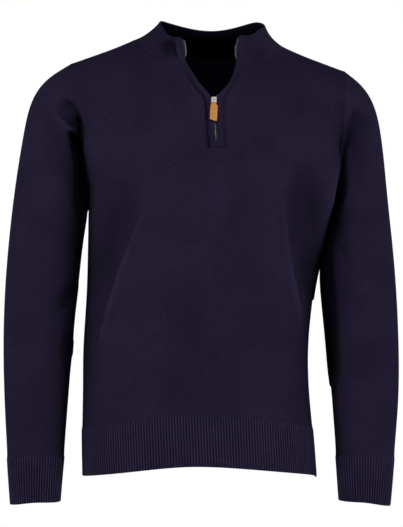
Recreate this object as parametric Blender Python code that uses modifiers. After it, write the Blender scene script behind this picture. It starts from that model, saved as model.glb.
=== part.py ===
"""A quarter zip sweater, hollow, in the shape it has when it is worn with the arms down.

Metres, +Z up, front towards -Y, +X to the viewer's right. The origin is the middle of the neck,
level with the tops of the shoulders, where a wearer carries the garment.

The outer face of the cloth is a set of smooth surfaces:
- the torso below the arms is a stack of rounded rings, given by the TORSO table,
- above the arms, columns run from the top ring over the chest or the back to the shoulder seams
  and the neckline,
- each sleeve is a loft through the rings of its own table, and its first ring is the armhole,
- the collar stands on the neckline, and the zip's bands follow the two edges of the opening.
Each cut piece is a wall made inwards from its stretch of that surface, a seam gap from the next.
"""

import math

import bmesh
import bpy
import numpy as np
from mathutils import Matrix

# ---------------------------------------------------------------- driving sizes

CLOTH = 0.0022  # jersey, one layer
RIB_CLOTH = 0.0022  # ribbing between its ribs
RIB_RELIEF = 0.0010  # how far a rib stands out
RIB_PITCH = 0.0044
COLLAR_CLOTH = 0.0036  # the collar is two layers
BAND_CLOTH = 0.0026  # the knitted band along each side of the zip is folded
TAPE_CLOTH = 0.0009
SEAM_GAP = 0.0003  # between neighbouring pieces

UNDERARM_Z = -0.216
HEM_Z = -0.680  # at the side seams
RIB_HEIGHT = 0.078
RIB_TOP_Z = HEM_Z + RIB_HEIGHT
FRONT_ARCH = 0.0275  # how much higher the hem is at the middle of the front
BACK_ARCH = 0.015
HEM_TILT = 0.003  # how much lower the hem hangs at the right side seam than at the left one
ARCH_FADES_Z = -0.36
ARCH_SHAPES = (1.4, 0.9)  # on the left and the right half; higher is a narrower arch
CUFF_ARCH = 0.003  # how much higher a cuff's end is at its front

ROUNDNESS = 2.3  # exponent of the torso's rounded rings; 2 is an ellipse

# The torso's rings, top to bottom: height at the side seam, reach to the left and right,
# to the front and to the back, and the side seam's own place from front to back.
TORSO_COLUMNS = ("z", "left", "right", "front", "back", "side")
TORSO = (
    (UNDERARM_Z, -0.1935, 0.2015, -0.1400, 0.1300, 0.004),
    (-0.250, -0.1948, 0.1962, -0.1415, 0.1290, -0.002),
    (-0.290, -0.1953, 0.1882, -0.1410, 0.1240, -0.008),
    (-0.345, -0.1965, 0.1743, -0.1370, 0.1140, -0.010),
    (-0.410, -0.1990, 0.1618, -0.1310, 0.1040, -0.008),
    (-0.480, -0.2032, 0.1560, -0.1260, 0.1000, -0.004),
    (-0.545, -0.2042, 0.1578, -0.1240, 0.1040, 0.000),
    (RIB_TOP_Z, -0.2050, 0.1630, -0.1235, 0.1090, 0.000),
    (HEM_Z, -0.2040, 0.1690, -0.1235, 0.1110, 0.000),
)

# The shoulder seams, from the top of the armhole to the side of the neck.
LEFT_SHOULDER = (
    (-0.2220, 0.004, -0.0215),
    (-0.1800, 0.006, -0.0064),
    (-0.1464, 0.008, 0.0064),
    (-0.1220, 0.008, 0.0170),
)
RIGHT_SHOULDER = (
    (0.2140, 0.004, -0.0340),
    (0.1752, 0.006, -0.0192),
    (0.1432, 0.008, -0.0064),
    (0.1190, 0.008, 0.0045),
)

# The collar, from the left edge of the opening round the back to the right edge:
# a point of the neckline seam, the point of the collar's top edge above it, and how far the
# collar curves in between them.
COLLAR_COLUMNS = ("seam", "top", "hollow")
COLLAR = (
    ((-0.0462, -0.0970, -0.0315), (-0.0554, -0.0675, 0.0128), 0.000),
    ((-0.0840, -0.0760, -0.0200), (-0.0664, -0.0450, 0.0196), 0.002),
    ((-0.1100, -0.0400, -0.0010), (-0.0760, -0.0200, 0.0345), 0.003),
    ((-0.1220, 0.0080, 0.0170), (-0.0805, 0.0080, 0.0478), 0.003),
    ((-0.1040, 0.0520, 0.0160), (-0.0690, 0.0400, 0.0492), 0.002),
    ((-0.0600, 0.0820, 0.0040), (-0.0400, 0.0670, 0.0442), 0.002),
    ((0.0000, 0.0920, -0.0040), (0.0015, 0.0790, 0.0398), 0.002),
    ((0.0600, 0.0820, -0.0020), (0.0445, 0.0670, 0.0450), 0.002),
    ((0.1020, 0.0520, 0.0070), (0.0765, 0.0400, 0.0495), 0.004),
    ((0.1190, 0.0080, 0.0045), (0.0875, 0.0080, 0.0410), 0.0055),
    ((0.1060, -0.0420, -0.0120), (0.0800, -0.0230, 0.0320), 0.004),
    ((0.0840, -0.0780, -0.0280), (0.0668, -0.0500, 0.0200), 0.003),
    ((0.0493, -0.0965, -0.0373), (0.0547, -0.0675, 0.0160), 0.000),
)
NECK_SIDES = (3, 9)  # the rows at the left and right ends of the shoulder seams

# The opening's two edges, from the foot of the zip to the top of the collar: the zip tape's edge,
# the band's lip, and the band's seam with the front and the collar.
EDGE_COLUMNS = ("tape", "lip", "seam")
LEFT_EDGE = (
    ((0.0084, -0.1292, -0.1640), (0.0063, -0.1292, -0.1640), (-0.0030, -0.1292, -0.1640)),
    ((0.0068, -0.1229, -0.1340), (0.0047, -0.1229, -0.1340), (-0.0056, -0.1229, -0.1330)),
    ((0.0054, -0.1178, -0.1100), (0.0032, -0.1178, -0.1100), (-0.0064, -0.1176, -0.1090)),
    ((0.0042, -0.1150, -0.0970), (0.0008, -0.1150, -0.0970), (-0.0082, -0.1148, -0.0960)),
    ((0.0012, -0.1122, -0.0840), (-0.0012, -0.1120, -0.0830), (-0.0118, -0.1124, -0.0845)),
    ((-0.0116, -0.1080, -0.0715), (-0.0108, -0.1080, -0.0705), (-0.0205, -0.1098, -0.0735)),
    ((-0.0285, -0.1000, -0.0465), (-0.0277, -0.0998, -0.0452), (-0.0355, -0.1035, -0.0500)),
    ((-0.0378, -0.0945, -0.0290), (-0.0372, -0.0940, -0.0290), (-0.0462, -0.0970, -0.0315)),
    ((-0.0385, -0.0830, -0.0095), (-0.0408, -0.0830, -0.0095), (-0.0533, -0.0850, -0.0093)),
    ((-0.0426, -0.0690, 0.0110), (-0.0460, -0.0690, 0.0125), (-0.0554, -0.0675, 0.0128)),
)
RIGHT_EDGE = (
    ((0.0088, -0.1292, -0.1640), (0.0109, -0.1292, -0.1640), (0.0222, -0.1292, -0.1640)),
    ((0.0072, -0.1229, -0.1340), (0.0093, -0.1229, -0.1340), (0.0208, -0.1229, -0.1330)),
    ((0.0058, -0.1178, -0.1100), (0.0080, -0.1178, -0.1100), (0.0194, -0.1176, -0.1090)),
    ((0.0056, -0.1150, -0.0970), (0.0090, -0.1150, -0.0970), (0.0198, -0.1148, -0.0960)),
    ((0.0084, -0.1122, -0.0840), (0.0108, -0.1120, -0.0830), (0.0222, -0.1124, -0.0845)),
    ((0.0218, -0.1080, -0.0715), (0.0209, -0.1080, -0.0705), (0.0302, -0.1098, -0.0715)),
    ((0.0349, -0.1000, -0.0485), (0.0341, -0.0998, -0.0473), (0.0424, -0.1030, -0.0505)),
    ((0.0386, -0.0945, -0.0335), (0.0380, -0.0940, -0.0335), (0.0493, -0.0965, -0.0373)),
    ((0.0388, -0.0835, -0.0130), (0.0410, -0.0835, -0.0130), (0.0535, -0.0855, -0.0150)),
    ((0.0408, -0.0690, 0.0125), (0.0436, -0.0690, 0.0150), (0.0547, -0.0675, 0.0160)),
)
NECKLINE_ROW = 7  # the row of both edges that lies on the neckline
SLIDER_ROWS = (3, 4)  # the rows at the slider's foot and head

# The sleeves' rings, from the armhole down: the ring's outermost and innermost points as (x, z),
# its middle from front to back, and how far it reaches forwards and back from there.
SLEEVE_COLUMNS = ("outer", "inner", "middle", "forward", "behind")
LEFT_SLEEVE = (
    ((-0.2220, -0.0215), (-0.1935, UNDERARM_Z), 0.004, 0.062, 0.070),
    ((-0.2610, -0.0398), (-0.1948, -0.2270), 0.007, 0.066, 0.070),
    ((-0.2865, -0.0715), (-0.1955, -0.2400), 0.012, 0.067, 0.068),
    ((-0.2985, -0.1200), (-0.1962, -0.2560), 0.015, 0.066, 0.065),
    ((-0.3085, -0.1800), (-0.1990, -0.2780), 0.014, 0.063, 0.062),
    ((-0.3172, -0.2450), (-0.2035, -0.3060), 0.011, 0.061, 0.060),
    ((-0.3245, -0.3150), (-0.2085, -0.3500), 0.008, 0.058, 0.058),
    ((-0.3300, -0.3950), (-0.2145, -0.4100), 0.004, 0.053, 0.053),
    ((-0.3312, -0.4800), (-0.2204, -0.4800), -0.004, 0.047, 0.047),
    ((-0.3285, -0.5600), (-0.2262, -0.5600), -0.013, 0.041, 0.041),
    ((-0.3228, -0.6470), (-0.2322, -0.6450), -0.024, 0.034, 0.034),
    ((-0.3198, -0.6870), (-0.2355, -0.6840), -0.028, 0.031, 0.031),
    ((-0.3168, -0.7225), (-0.2380, -0.7180), -0.032, 0.028, 0.028),
)
RIGHT_SLEEVE = (
    ((0.2140, -0.0340), (0.2015, UNDERARM_Z), 0.004, 0.062, 0.070),
    ((0.2385, -0.0475), (0.2020, -0.2290), 0.007, 0.066, 0.070),
    ((0.2600, -0.0755), (0.2000, -0.2440), 0.012, 0.067, 0.068),
    ((0.2722, -0.1200), (0.1965, -0.2620), 0.015, 0.066, 0.065),
    ((0.2793, -0.1800), (0.1912, -0.2840), 0.014, 0.063, 0.062),
    ((0.2852, -0.2450), (0.1842, -0.3120), 0.011, 0.061, 0.060),
    ((0.2925, -0.3150), (0.1782, -0.3520), 0.008, 0.058, 0.058),
    ((0.2985, -0.3950), (0.1812, -0.4100), 0.004, 0.053, 0.053),
    ((0.3012, -0.4800), (0.1875, -0.4800), -0.004, 0.047, 0.047),
    ((0.2995, -0.5600), (0.1928, -0.5600), -0.013, 0.041, 0.041),
    ((0.2915, -0.6470), (0.1985, -0.6450), -0.024, 0.034, 0.034),
    ((0.2878, -0.6875), (0.2010, -0.6840), -0.028, 0.031, 0.031),
    ((0.2840, -0.7245), (0.2030, -0.7160), -0.032, 0.028, 0.028),
)
SHOULDER_ROW = 3
CUFF_ROW = 10  # the row where the cuff's ribbing begins
ARMHOLE_TAPER = 0.35  # how much narrower the armhole is at the underarm than at the shoulder
TAPER_FADES_ROW = 4
SLEEVE_ROUNDNESS = 2.1

# Soft folds of the torso, as ridges (+) or troughs (-): which face, the fold's two ends as (x, z),
# how far its middle bows to the right, half width and height.
FOLD_COLUMNS = ("face", "top", "bottom", "bow", "width", "height")
FOLDS = (
    ("front", (-0.088, -0.170), (-0.198, -0.560), 0.006, 0.013, 0.0045),
    ("front", (-0.120, -0.175), (-0.222, -0.560), 0.006, 0.024, -0.0120),
    ("front", (0.112, -0.180), (0.160, -0.520), -0.012, 0.013, 0.0045),
    ("front", (0.146, -0.150), (0.186, -0.500), -0.012, 0.024, -0.0110),
    ("back", (-0.080, -0.200), (-0.190, -0.540), 0.006, 0.018, 0.0040),
    ("back", (-0.118, -0.200), (-0.215, -0.540), 0.006, 0.024, -0.0080),
    ("back", (0.092, -0.200), (0.158, -0.520), -0.008, 0.018, 0.0040),
    ("back", (0.132, -0.190), (0.182, -0.500), -0.008, 0.024, -0.0080),
)

# The zip's slider and pull, each in a frame of its own: x across, y into the garment and z up
# the zip, from the pull's hinge. The slider's outline is its right half, from the top down.
HARD_GAP = 0.0003
HINGE_OUT = 0.0025  # from the bands' surface out to the hinge
HINGE_BELOW_HEAD = 0.0055  # from the slider's head row down to the hinge
SLIDER_OUTLINE = ((0.0026, 0.0038), (0.0044, 0.0020), (0.0044, -0.0016), (0.0030, -0.0080))
BACK_PLATE = 0.0010
BRIDGE = (0.0022, 0.0026)  # its width and height
BRIDGE_Z = 0.0023
BAIL_HALF = 0.0021
BAIL_WIRE = 0.0006
RING_WIRE = 0.0005
RING_HALF = 0.0040
RING_LONG = 0.0068
RING_CORNER = 0.0012
LEATHER = 0.0008  # one layer; the tab is folded double round the ring's lower bar
TAB_THICK = 0.0020
TAB_NECK_HALF = 0.0026
TAB_HALF = 0.0055
TAB_SHOULDER_Z = -0.0113
TAB_END_Z = (-0.0333, -0.0350)  # at its left and right edge
TAB_TILT = 4.0  # degrees, its foot to the left
SLIDER_ROUNDING = 0.0006

# How finely the surfaces are cut.
SHOULDER_STEPS = 6
NECK_STEPS = 6  # on each side of the opening
BACK_NECK_STEPS = 5  # on each side of the middle
TORSO_ROWS = 13
ROW_STEP = 0.016  # the furthest that rows above the underarm lie apart, along the opening
SHOULDER_ROWS = 6  # of a sleeve, above the row of its table where it hangs straight
SLEEVE_ROWS = 11  # from there down to the cuff
CUFF_ROWS = 2
RIB_ROWS = 2
COLLAR_ROWS = 4
BAND_STEPS = 3

# How the surface above the arms is drawn.
NECK_S = 0.53  # the column that ends at the side of the neck
CLIMB = 0.19  # how strongly the columns set off upwards
OVER_SHOULDER = 0.13  # how strongly they arrive at the shoulder seam
OVER_NECK = 0.085  # and at the neckline
BESIDE_NECK_WAY = (0.55, 0.60, 0.55)  # how they arrive beside the neck: inwards, over and up
NECK_TURNS_BY = 0.45  # the share of the neckline over which they turn to that way
FRONT_NECK_WAY = (0.05, 0.55, 0.85)  # how the middle columns arrive at the neckline
BACK_NECK_WAY = (0.0, -0.45, 0.95)
ARMHOLE_BLEND = 0.45  # from this column outwards the surface turns towards the armhole
OPENING_BLEND = 0.72  # from this column inwards it turns towards the opening
NECK_MIDDLE = (0.0, 0.010, 0.0)
COLLAR_END_BLEND = 0.12
FOLD_FADES = (0.40, 0.29)  # the shares of a fold's length over which it sets in and runs out
SEAM_FADE = 0.2  # the share of a face beside its side seams over which the folds run out
FOOT_BULGE = 0.6  # how much of the chest's roundness is left right below the zip
MITRE_LIMIT = 0.3
WELD = 0.00001  # points closer than this are one
BAND_BULGE = 0.0008  # how round the bands are
TAPE_GAP = 0.0007  # between a band and the tape behind it

SHARP = math.radians(35)  # edges sharper than this aren't shaded smooth
NAVY = (0.030, 0.027, 0.055, 1.0)
SILVER = (0.62, 0.62, 0.62, 1.0)
TAN = (0.62, 0.30, 0.09, 1.0)


# ---------------------------------------------------------------- small mathematics


def spline(knots, values, at):
    """A natural cubic spline through values at knots, read at each entry of at."""
    knots, values, at = (np.asarray(a, float) for a in (knots, values, at))
    if knots[0] > knots[-1]:
        knots, values = knots[::-1], values[::-1]
    count, step = len(knots), np.diff(knots)
    system, right = np.eye(count), np.zeros(values.shape)
    for i in range(1, count - 1):
        system[i, i - 1 : i + 2] = step[i - 1], 2 * (step[i - 1] + step[i]), step[i]
        after = (values[i + 1] - values[i]) / step[i]
        right[i] = 6 * (after - (values[i] - values[i - 1]) / step[i - 1])
    bend = np.linalg.solve(system, right)
    i = np.clip(np.searchsorted(knots, at, side="right") - 1, 0, count - 2)
    extra = (1,) * (values.ndim - 1)
    long = step[i].reshape(at.shape + extra)
    before = ((knots[i + 1] - at) / step[i]).reshape(at.shape + extra)
    past = 1 - before
    cubic = (before**3 - before) * bend[i] + (past**3 - past) * bend[i + 1]
    return before * values[i] + past * values[i + 1] + cubic * long**2 / 6


def along(points, at):
    """A smooth curve through the points, read at shares 0 to 1 of its length."""
    points = np.asarray(points, float)
    steps = np.linalg.norm(np.diff(points, axis=0), axis=1)
    knots = np.concatenate([[0.0], np.cumsum(steps)]) / steps.sum()
    return spline(knots, points, at)


def smooth(value):
    """0 below 0, 1 above 1, and an even S between."""
    value = np.clip(value, 0.0, 1.0)
    return value * value * (3 - 2 * value)


def unit(vectors):
    return vectors / np.maximum(np.linalg.norm(vectors, axis=-1, keepdims=True), 1e-12)


def hermite(start, start_way, end, end_way, at):
    """A cubic from start to end that leaves and arrives along the two ways."""
    at = np.asarray(at)[..., None]
    return (
        (2 * at**3 - 3 * at**2 + 1) * start
        + (at**3 - 2 * at**2 + at) * start_way
        + (3 * at**2 - 2 * at**3) * end
        + (at**3 - at**2) * end_way
    )


def column(table, columns, name):
    return [row[columns.index(name)] for row in table]


# ---------------------------------------------------------------- the outer surface


def fold_height(face, x, z):
    """How far the torso's soft folds push the cloth out at a place."""
    total = np.zeros(np.broadcast(x, z).shape)
    for side, top, bottom, bow, width, height in FOLDS:
        if side != face:
            continue
        way = np.subtract(bottom, top)
        long = math.hypot(*way)
        share = ((x - top[0]) * way[0] + (z - top[1]) * way[1]) / long**2
        inside = np.clip(share, 0.0, 1.0)
        across = ((x - top[0]) * -way[1] + (z - top[1]) * way[0]) / long
        across = across - bow * 4 * inside * (1 - inside)
        ends = smooth(inside / FOLD_FADES[0]) * smooth((1 - inside) / FOLD_FADES[1])
        total = total + height * np.exp(-((across / width) ** 2)) * ends
    return total


def torso(face, s, height):
    """A point of the torso below the arms. s runs from -1 at the left side seam to 1 at the right."""
    s, height = np.broadcast_arrays(np.asarray(s, float), np.asarray(height, float))
    knots = column(TORSO, TORSO_COLUMNS, "z")
    left, right, front, back, side = (
        spline(knots, column(TORSO, TORSO_COLUMNS, name), height)
        for name in TORSO_COLUMNS[1:]
    )
    facing = -1.0 if face == "front" else 1.0
    reach = np.abs((front if face == "front" else back) - side)
    middle, half = (left + right) / 2, (right - left) / 2
    across, out = np.sin(s * math.pi / 2), np.cos(s * math.pi / 2)
    round_it = (np.abs(across) / half) ** ROUNDNESS + (out / reach) ** ROUNDNESS
    radius = round_it ** (-1 / ROUNDNESS)
    x, y = middle + radius * across, side + facing * radius * out
    arch = FRONT_ARCH if face == "front" else BACK_ARCH
    share = smooth((ARCH_FADES_Z - height) / (ARCH_FADES_Z - RIB_TOP_Z))
    narrow = np.where(s < 0, *ARCH_SHAPES)
    z = height + (arch * np.maximum(out, 0) ** narrow - HEM_TILT * (1 + s) / 2) * share
    normal = np.stack(
        [
            np.sign(across) * np.abs(across / half) ** (ROUNDNESS - 1) / half,
            facing * (out / reach) ** (ROUNDNESS - 1) / reach,
            np.zeros_like(x),
        ],
        -1,
    )
    push = fold_height(face, x, z) * smooth((1 - np.abs(s)) / SEAM_FADE)
    return np.stack([x, y, z], -1) + unit(normal) * push[..., None]


def lengths(points):
    """The share of a broken line's length at which each of its points lies."""
    steps = np.linalg.norm(np.diff(np.asarray(points, float), axis=0), axis=1)
    return np.concatenate([[0.0], np.cumsum(steps)]) / steps.sum()


def ring_share(table, row):
    """How far along a sleeve a row of its table lies, 0 to 1, measured on its middle line."""
    outer, inner = (column(table, SLEEVE_COLUMNS, name) for name in ("outer", "inner"))
    return lengths(np.add(outer, inner) / 2)[row]


def sleeve(table, turn, share):
    """A point of a sleeve: turn in degrees is 0 at the inside, 90 at the front, 180 outside."""
    turn, share = np.broadcast_arrays(
        np.radians(np.asarray(turn, float)), np.asarray(share, float)
    )
    knots = ring_share(table, slice(None))
    outer, inner, middle, forward, behind = (
        spline(knots, column(table, SLEEVE_COLUMNS, name), share)
        for name in SLEEVE_COLUMNS
    )
    inward, ahead = np.cos(turn), np.sin(turn)
    half = np.linalg.norm(inner - outer, axis=-1) / 2
    deep = np.where(ahead >= 0, forward, behind)
    taper = ARMHOLE_TAPER * smooth(1 - share / knots[TAPER_FADES_ROW])
    deep = deep * (1 - taper * (1 + inward) / 2)
    n = SLEEVE_ROUNDNESS
    radius = ((np.abs(inward) / half) ** n + (np.abs(ahead) / deep) ** n) ** (-1 / n)
    step = (radius * inward / half)[..., None] * (inner - outer) / 2
    x, z = np.moveaxis((inner + outer) / 2 + step, -1, 0)
    start = knots[CUFF_ROW - 1]
    arch = CUFF_ARCH * np.maximum(ahead, 0) ** 2 * smooth((share - start) / (1 - start))
    return np.stack([x, middle - radius * ahead, z + arch], -1)


def neck_share(row):
    """How far round the neckline a row of the COLLAR table lies, 0 to 1."""
    return lengths(column(COLLAR, COLLAR_COLUMNS, "seam"))[row]


def seam_column(table):
    """Which column s of the front the band's seam runs down into."""
    columns = np.linspace(-1, 1, 401)
    ring = torso("front", columns, UNDERARM_Z)
    return float(np.interp(table[0][-1][0], ring[:, 0], columns))


def seam_line(table):
    """The band's seam, from the ring under the arms up to the top of the collar."""
    start = torso("front", seam_column(table), UNDERARM_Z)
    return np.vstack([start, column(table, EDGE_COLUMNS, "seam")])


def edge_share(row):
    """How far up the opening's edge a row of its tables lies: 0 is the ring under the arms."""
    return lengths(seam_line(LEFT_EDGE))[row + 1]


def edge(table, name, share):
    """A point of one of the lines of the opening's edge."""
    knots = lengths(seam_line(LEFT_EDGE))
    if name == "seam":
        return spline(knots, seam_line(table), share)
    return spline(knots[1:], column(table, EDGE_COLUMNS, name), share)


def collar(round_neck, up):
    """A point of the collar: round the neck from the left edge to the right, and up from its seam."""
    round_neck, up = np.broadcast_arrays(
        np.asarray(round_neck, float), np.asarray(up, float)
    )
    knots = neck_share(slice(None))
    share = up[..., None]

    def plain(place):
        seam, top, hollow = (
            spline(knots, column(COLLAR, COLLAR_COLUMNS, name), place)
            for name in COLLAR_COLUMNS
        )
        points = seam * (1 - share) + top * share
        inward = unit((np.array(NECK_MIDDLE) - points) * (1, 1, 0))
        return points + inward * hollow[..., None] * 4 * share * (1 - share)

    points = plain(round_neck)
    foot = edge_share(NECKLINE_ROW)
    for table, end in ((LEFT_EDGE, 0.0), (RIGHT_EDGE, 1.0)):
        wanted = edge(table, "seam", foot + (1 - foot) * up)
        near = smooth(1 - np.abs(round_neck - end) / COLLAR_END_BLEND)[..., None]
        points = points + near * (wanted - plain(np.full_like(round_neck, end)))
    return points


def upper(face, side, s, t):
    """A point above the underarm. side is -1 left or 1 right, s the column (0 middle to 1 side)
    and t runs from 0 at the underarm's ring to 1 at the shoulder seam or the neckline."""
    s, t = np.broadcast_arrays(np.asarray(s, float), np.asarray(t, float))
    shoulder = LEFT_SHOULDER if side < 0 else RIGHT_SHOULDER
    table = LEFT_SLEEVE if side < 0 else RIGHT_SLEEVE
    opening = LEFT_EDGE if side < 0 else RIGHT_EDGE
    inmost = seam_column(opening) * side if face == "front" else 0.0
    way = FRONT_NECK_WAY if face == "front" else BACK_NECK_WAY
    over = np.array([0.0, 1.0 if face == "front" else -1.0, 0.0])

    def top(columns):
        """The end of each column, and the way it arrives there."""
        on_shoulder = np.clip((1 - columns) / (1 - NECK_S), 0, 1)
        on_neck = np.clip((NECK_S - columns) / (NECK_S - inmost), 0, 1)
        place = np.where(
            (columns < NECK_S)[..., None],
            collar(neck_place(face, side, columns), 0.0),
            along(shoulder, on_shoulder),
        )
        turned = smooth(on_neck / NECK_TURNS_BY)[..., None]
        beside = np.multiply(BESIDE_NECK_WAY, (-side, over[1], 1))
        last = np.multiply(way, (-side, 1, 1))
        arrive = over * (1 - turned) + beside * turned
        arrive = arrive * (1 - on_neck[..., None]) + last * on_neck[..., None]
        reach = OVER_SHOULDER + (OVER_NECK - OVER_SHOULDER) * on_neck[..., None]
        return place, unit(arrive) * reach

    def plain(columns, up):
        start = torso(face, side * columns, UNDERARM_Z)
        below = torso(face, side * columns, UNDERARM_Z - 0.01)
        end, end_way = top(columns)
        return hermite(start, (start - below) / 0.01 * CLIMB, end, end_way, up)

    points = plain(s, t)
    turn = 180 * t if face == "front" else 360 - 180 * t
    armhole = sleeve(table, turn, np.zeros_like(t))
    pull = smooth((s - ARMHOLE_BLEND) / (1 - ARMHOLE_BLEND))[..., None]
    points = points + pull * (armhole - plain(np.ones_like(t), t))
    if face == "front":
        opened = edge(opening, "seam", t * edge_share(NECKLINE_ROW))
        push = smooth((OPENING_BLEND - s) / (OPENING_BLEND - inmost))[..., None]
        points = points + push * (opened - plain(np.full_like(t, inmost), t))
    return points


def neck_place(face, side, columns):
    """Where on the neckline, 0 to 1 round it, the columns of a face end."""
    near, far = NECK_SIDES
    beside = neck_share(near if side < 0 else far)
    if face == "front":
        opening = LEFT_EDGE if side < 0 else RIGHT_EDGE
        inmost, end = seam_column(opening) * side, 0.0 if side < 0 else 1.0
    else:
        inmost, end = 0.0, neck_share((near + far) // 2)
    share = np.clip((NECK_S - columns) / (NECK_S - inmost), 0, 1)
    return beside + (end - beside) * share


def band(table, across, share):
    """A point of a zip band's flat surface, across it from its seam at 0 to its lip at 1."""
    across = np.asarray(across, float)[..., None]
    return edge(table, "seam", share) * (1 - across) + edge(table, "lip", share) * across


# ---------------------------------------------------------------- grids of the pieces


def rows_up():
    """The shares t of the rows above the underarm, with one at each row of the opening's tables."""
    knots = lengths(seam_line(LEFT_EDGE))[: NECKLINE_ROW + 2]
    long = np.linalg.norm(np.diff(seam_line(LEFT_EDGE), axis=0), axis=1)
    rows = [0.0]
    for start, end, reach in zip(knots[:-1], knots[1:], long):
        count = math.ceil(reach / ROW_STEP)
        rows += list(start + (end - start) * (np.arange(count) + 1) / count)
    return np.array(rows) / knots[-1]


def foot_row():
    """Which of the rows above the underarm lies at the foot of the zip."""
    foot = edge_share(0) / edge_share(NECKLINE_ROW)
    return int(np.argmin(np.abs(rows_up() - foot)))


def side_columns(inmost, neck_steps):
    """Columns s from the middle outwards, with one at the side of the neck."""
    inner = np.linspace(inmost, NECK_S, neck_steps + 1)
    return np.concatenate([inner, np.linspace(NECK_S, 1, SHOULDER_STEPS + 1)[1:]])


def face_columns(face, side):
    """A face's columns on one side, from its middle or from the opening outwards."""
    if face == "back":
        return side_columns(0.0, BACK_NECK_STEPS)
    opening = LEFT_EDGE if side < 0 else RIGHT_EDGE
    return side_columns(seam_column(opening) * side, NECK_STEPS)


def body_columns(face):
    """Signed columns of a whole face, from its left side seam to the right one."""
    left, right = -face_columns(face, -1)[::-1], face_columns(face, 1)
    middle = [(left[-1] + right[0]) / 2] if face == "front" else []
    return np.concatenate([left if face == "front" else left[:-1], middle, right])


def body_patches(face):
    """The surface of the front or back as grids of points that share their edges."""
    heights = np.linspace(RIB_TOP_Z, UNDERARM_Z, TORSO_ROWS + 1)
    rows = rows_up()
    halves = [
        upper(face, side, face_columns(face, side)[None, ::side], rows[:, None])
        for side in (-1, 1)
    ]
    below = torso(face, body_columns(face)[None, :], heights[:, None])
    if face == "back":
        return [grid[:, ::-1] for grid in (below, *halves)]
    foot = foot_row()
    left, right = halves[0][: foot + 1, -1], halves[1][: foot + 1, 0]
    bulge = below[-1, halves[0].shape[1]] - (left[0] + right[0]) / 2
    middle = (left + right) / 2 + bulge * np.linspace(1, FOOT_BULGE, foot + 1)[:, None]
    return [below, *halves, np.stack([left, middle, right], 1)]


def hem_grid(face):
    heights = np.linspace(HEM_Z, RIB_TOP_Z, RIB_ROWS + 1)
    grid = torso(face, body_columns(face)[None, :], heights[:, None])
    return grid[:, ::-1] if face == "back" else grid


def sleeve_grids(side):
    """The grids of a sleeve and its cuff, in rows from the wrist upwards."""
    table = LEFT_SLEEVE if side < 0 else RIGHT_SLEEVE
    half = 180 * rows_up()
    turns = np.concatenate([half, 360 - half[-2::-1]])[::side]
    knots = ring_share(table, slice(None))
    upper_rows = np.interp(np.linspace(0, 1, SHOULDER_ROWS + 1), (0, 1), knots[[0, SHOULDER_ROW]])
    lower_rows = np.linspace(knots[SHOULDER_ROW], knots[CUFF_ROW], SLEEVE_ROWS + 1)[1:]
    rows = np.concatenate([upper_rows, lower_rows])[::-1]
    cuff_rows = np.linspace(1, knots[CUFF_ROW], CUFF_ROWS + 1)
    return [sleeve(table, turns[None, :], shares[:, None]) for shares in (rows, cuff_rows)]


def collar_grid():
    """The collar, in rows upwards, with a column for each of the body's at the neckline."""
    places = []
    for face, side in (("front", -1), ("back", -1), ("back", 1), ("front", 1)):
        columns = face_columns(face, side)
        columns = columns[columns < NECK_S + 1e-9]
        places += list(neck_place(face, side, columns))
    places = np.unique(np.round(places, 9))[::-1]
    return collar(places[None, :], np.linspace(0, 1, COLLAR_ROWS + 1)[:, None])


def band_grid(side):
    """A zip band's flat surface, in rows from its foot to the top of the collar."""
    table = LEFT_EDGE if side < 0 else RIGHT_EDGE
    neck = edge_share(NECKLINE_ROW)
    shares = np.concatenate(
        [rows_up()[foot_row() :] * neck, np.linspace(neck, 1, COLLAR_ROWS + 1)[1:]]
    )
    across = np.linspace(0, 1, BAND_STEPS + 1)[::-side]
    return band(table, across[None, :], shares[:, None]), shares


# ---------------------------------------------------------------- from surfaces to walls


def key(point):
    return tuple(np.round(point / WELD).astype(int))


def welded(patches):
    """Grids as one list of points and one of faces, with the points they share made one."""
    points, faces, numbers = [], [], {}
    for grid in patches:
        for point in grid.reshape(-1, 3):
            if key(point) not in numbers:
                numbers[key(point)] = len(points)
                points.append(point)
        index = [[numbers[key(point)] for point in row] for row in grid]
        for low, high in zip(index[:-1], index[1:]):
            for i in range(len(low) - 1):
                ring = [low[i], low[i + 1], high[i + 1], high[i]]
                face = [v for k, v in enumerate(ring) if v != ring[k - 1]]
                if len(face) > 2:
                    faces.append(face)
    return np.array(points), faces


def face_normal(points, face):
    """The face's normal, as long as twice its area."""
    corners = points[face]
    return np.cross(corners[:-1] - corners[0], corners[1:] - corners[0]).sum(0)


def shared_normals(groups):
    """The outward normal at every point, halfway between the groups of surfaces that meet there."""
    shared = {}
    for surfaces in groups:
        own = {}
        for points, faces in surfaces:
            for face in faces:
                normal = face_normal(points, face)
                for v in face:
                    own[key(points[v])] = own.get(key(points[v]), 0) + normal
        for place, normal in own.items():
            shared[place] = shared.get(place, 0) + unit(normal)
    return {place: unit(normal) for place, normal in shared.items()}


def boundary_edges(faces):
    """The edges that only one face has, in that face's direction."""
    once = {}
    for face in faces:
        for a, b in zip(face, face[1:] + face[:1]):
            if once.pop((b, a), None) is None:
                once[(a, b)] = True
    return list(once)


def drawn_in(points, faces, normals, by):
    """The points, with those on the surface's edge moved into the surface."""
    ways = {}
    for a, b in boundary_edges(faces):
        for v in (a, b):
            inward = unit(np.cross(normals[v], points[b] - points[a]))
            ways.setdefault(v, []).append(inward)
    moved = points.copy()
    for v, (first, second) in ways.items():
        moved[v] += (first + second) / max(1 + first @ second, MITRE_LIMIT) * by
    return moved


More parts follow.
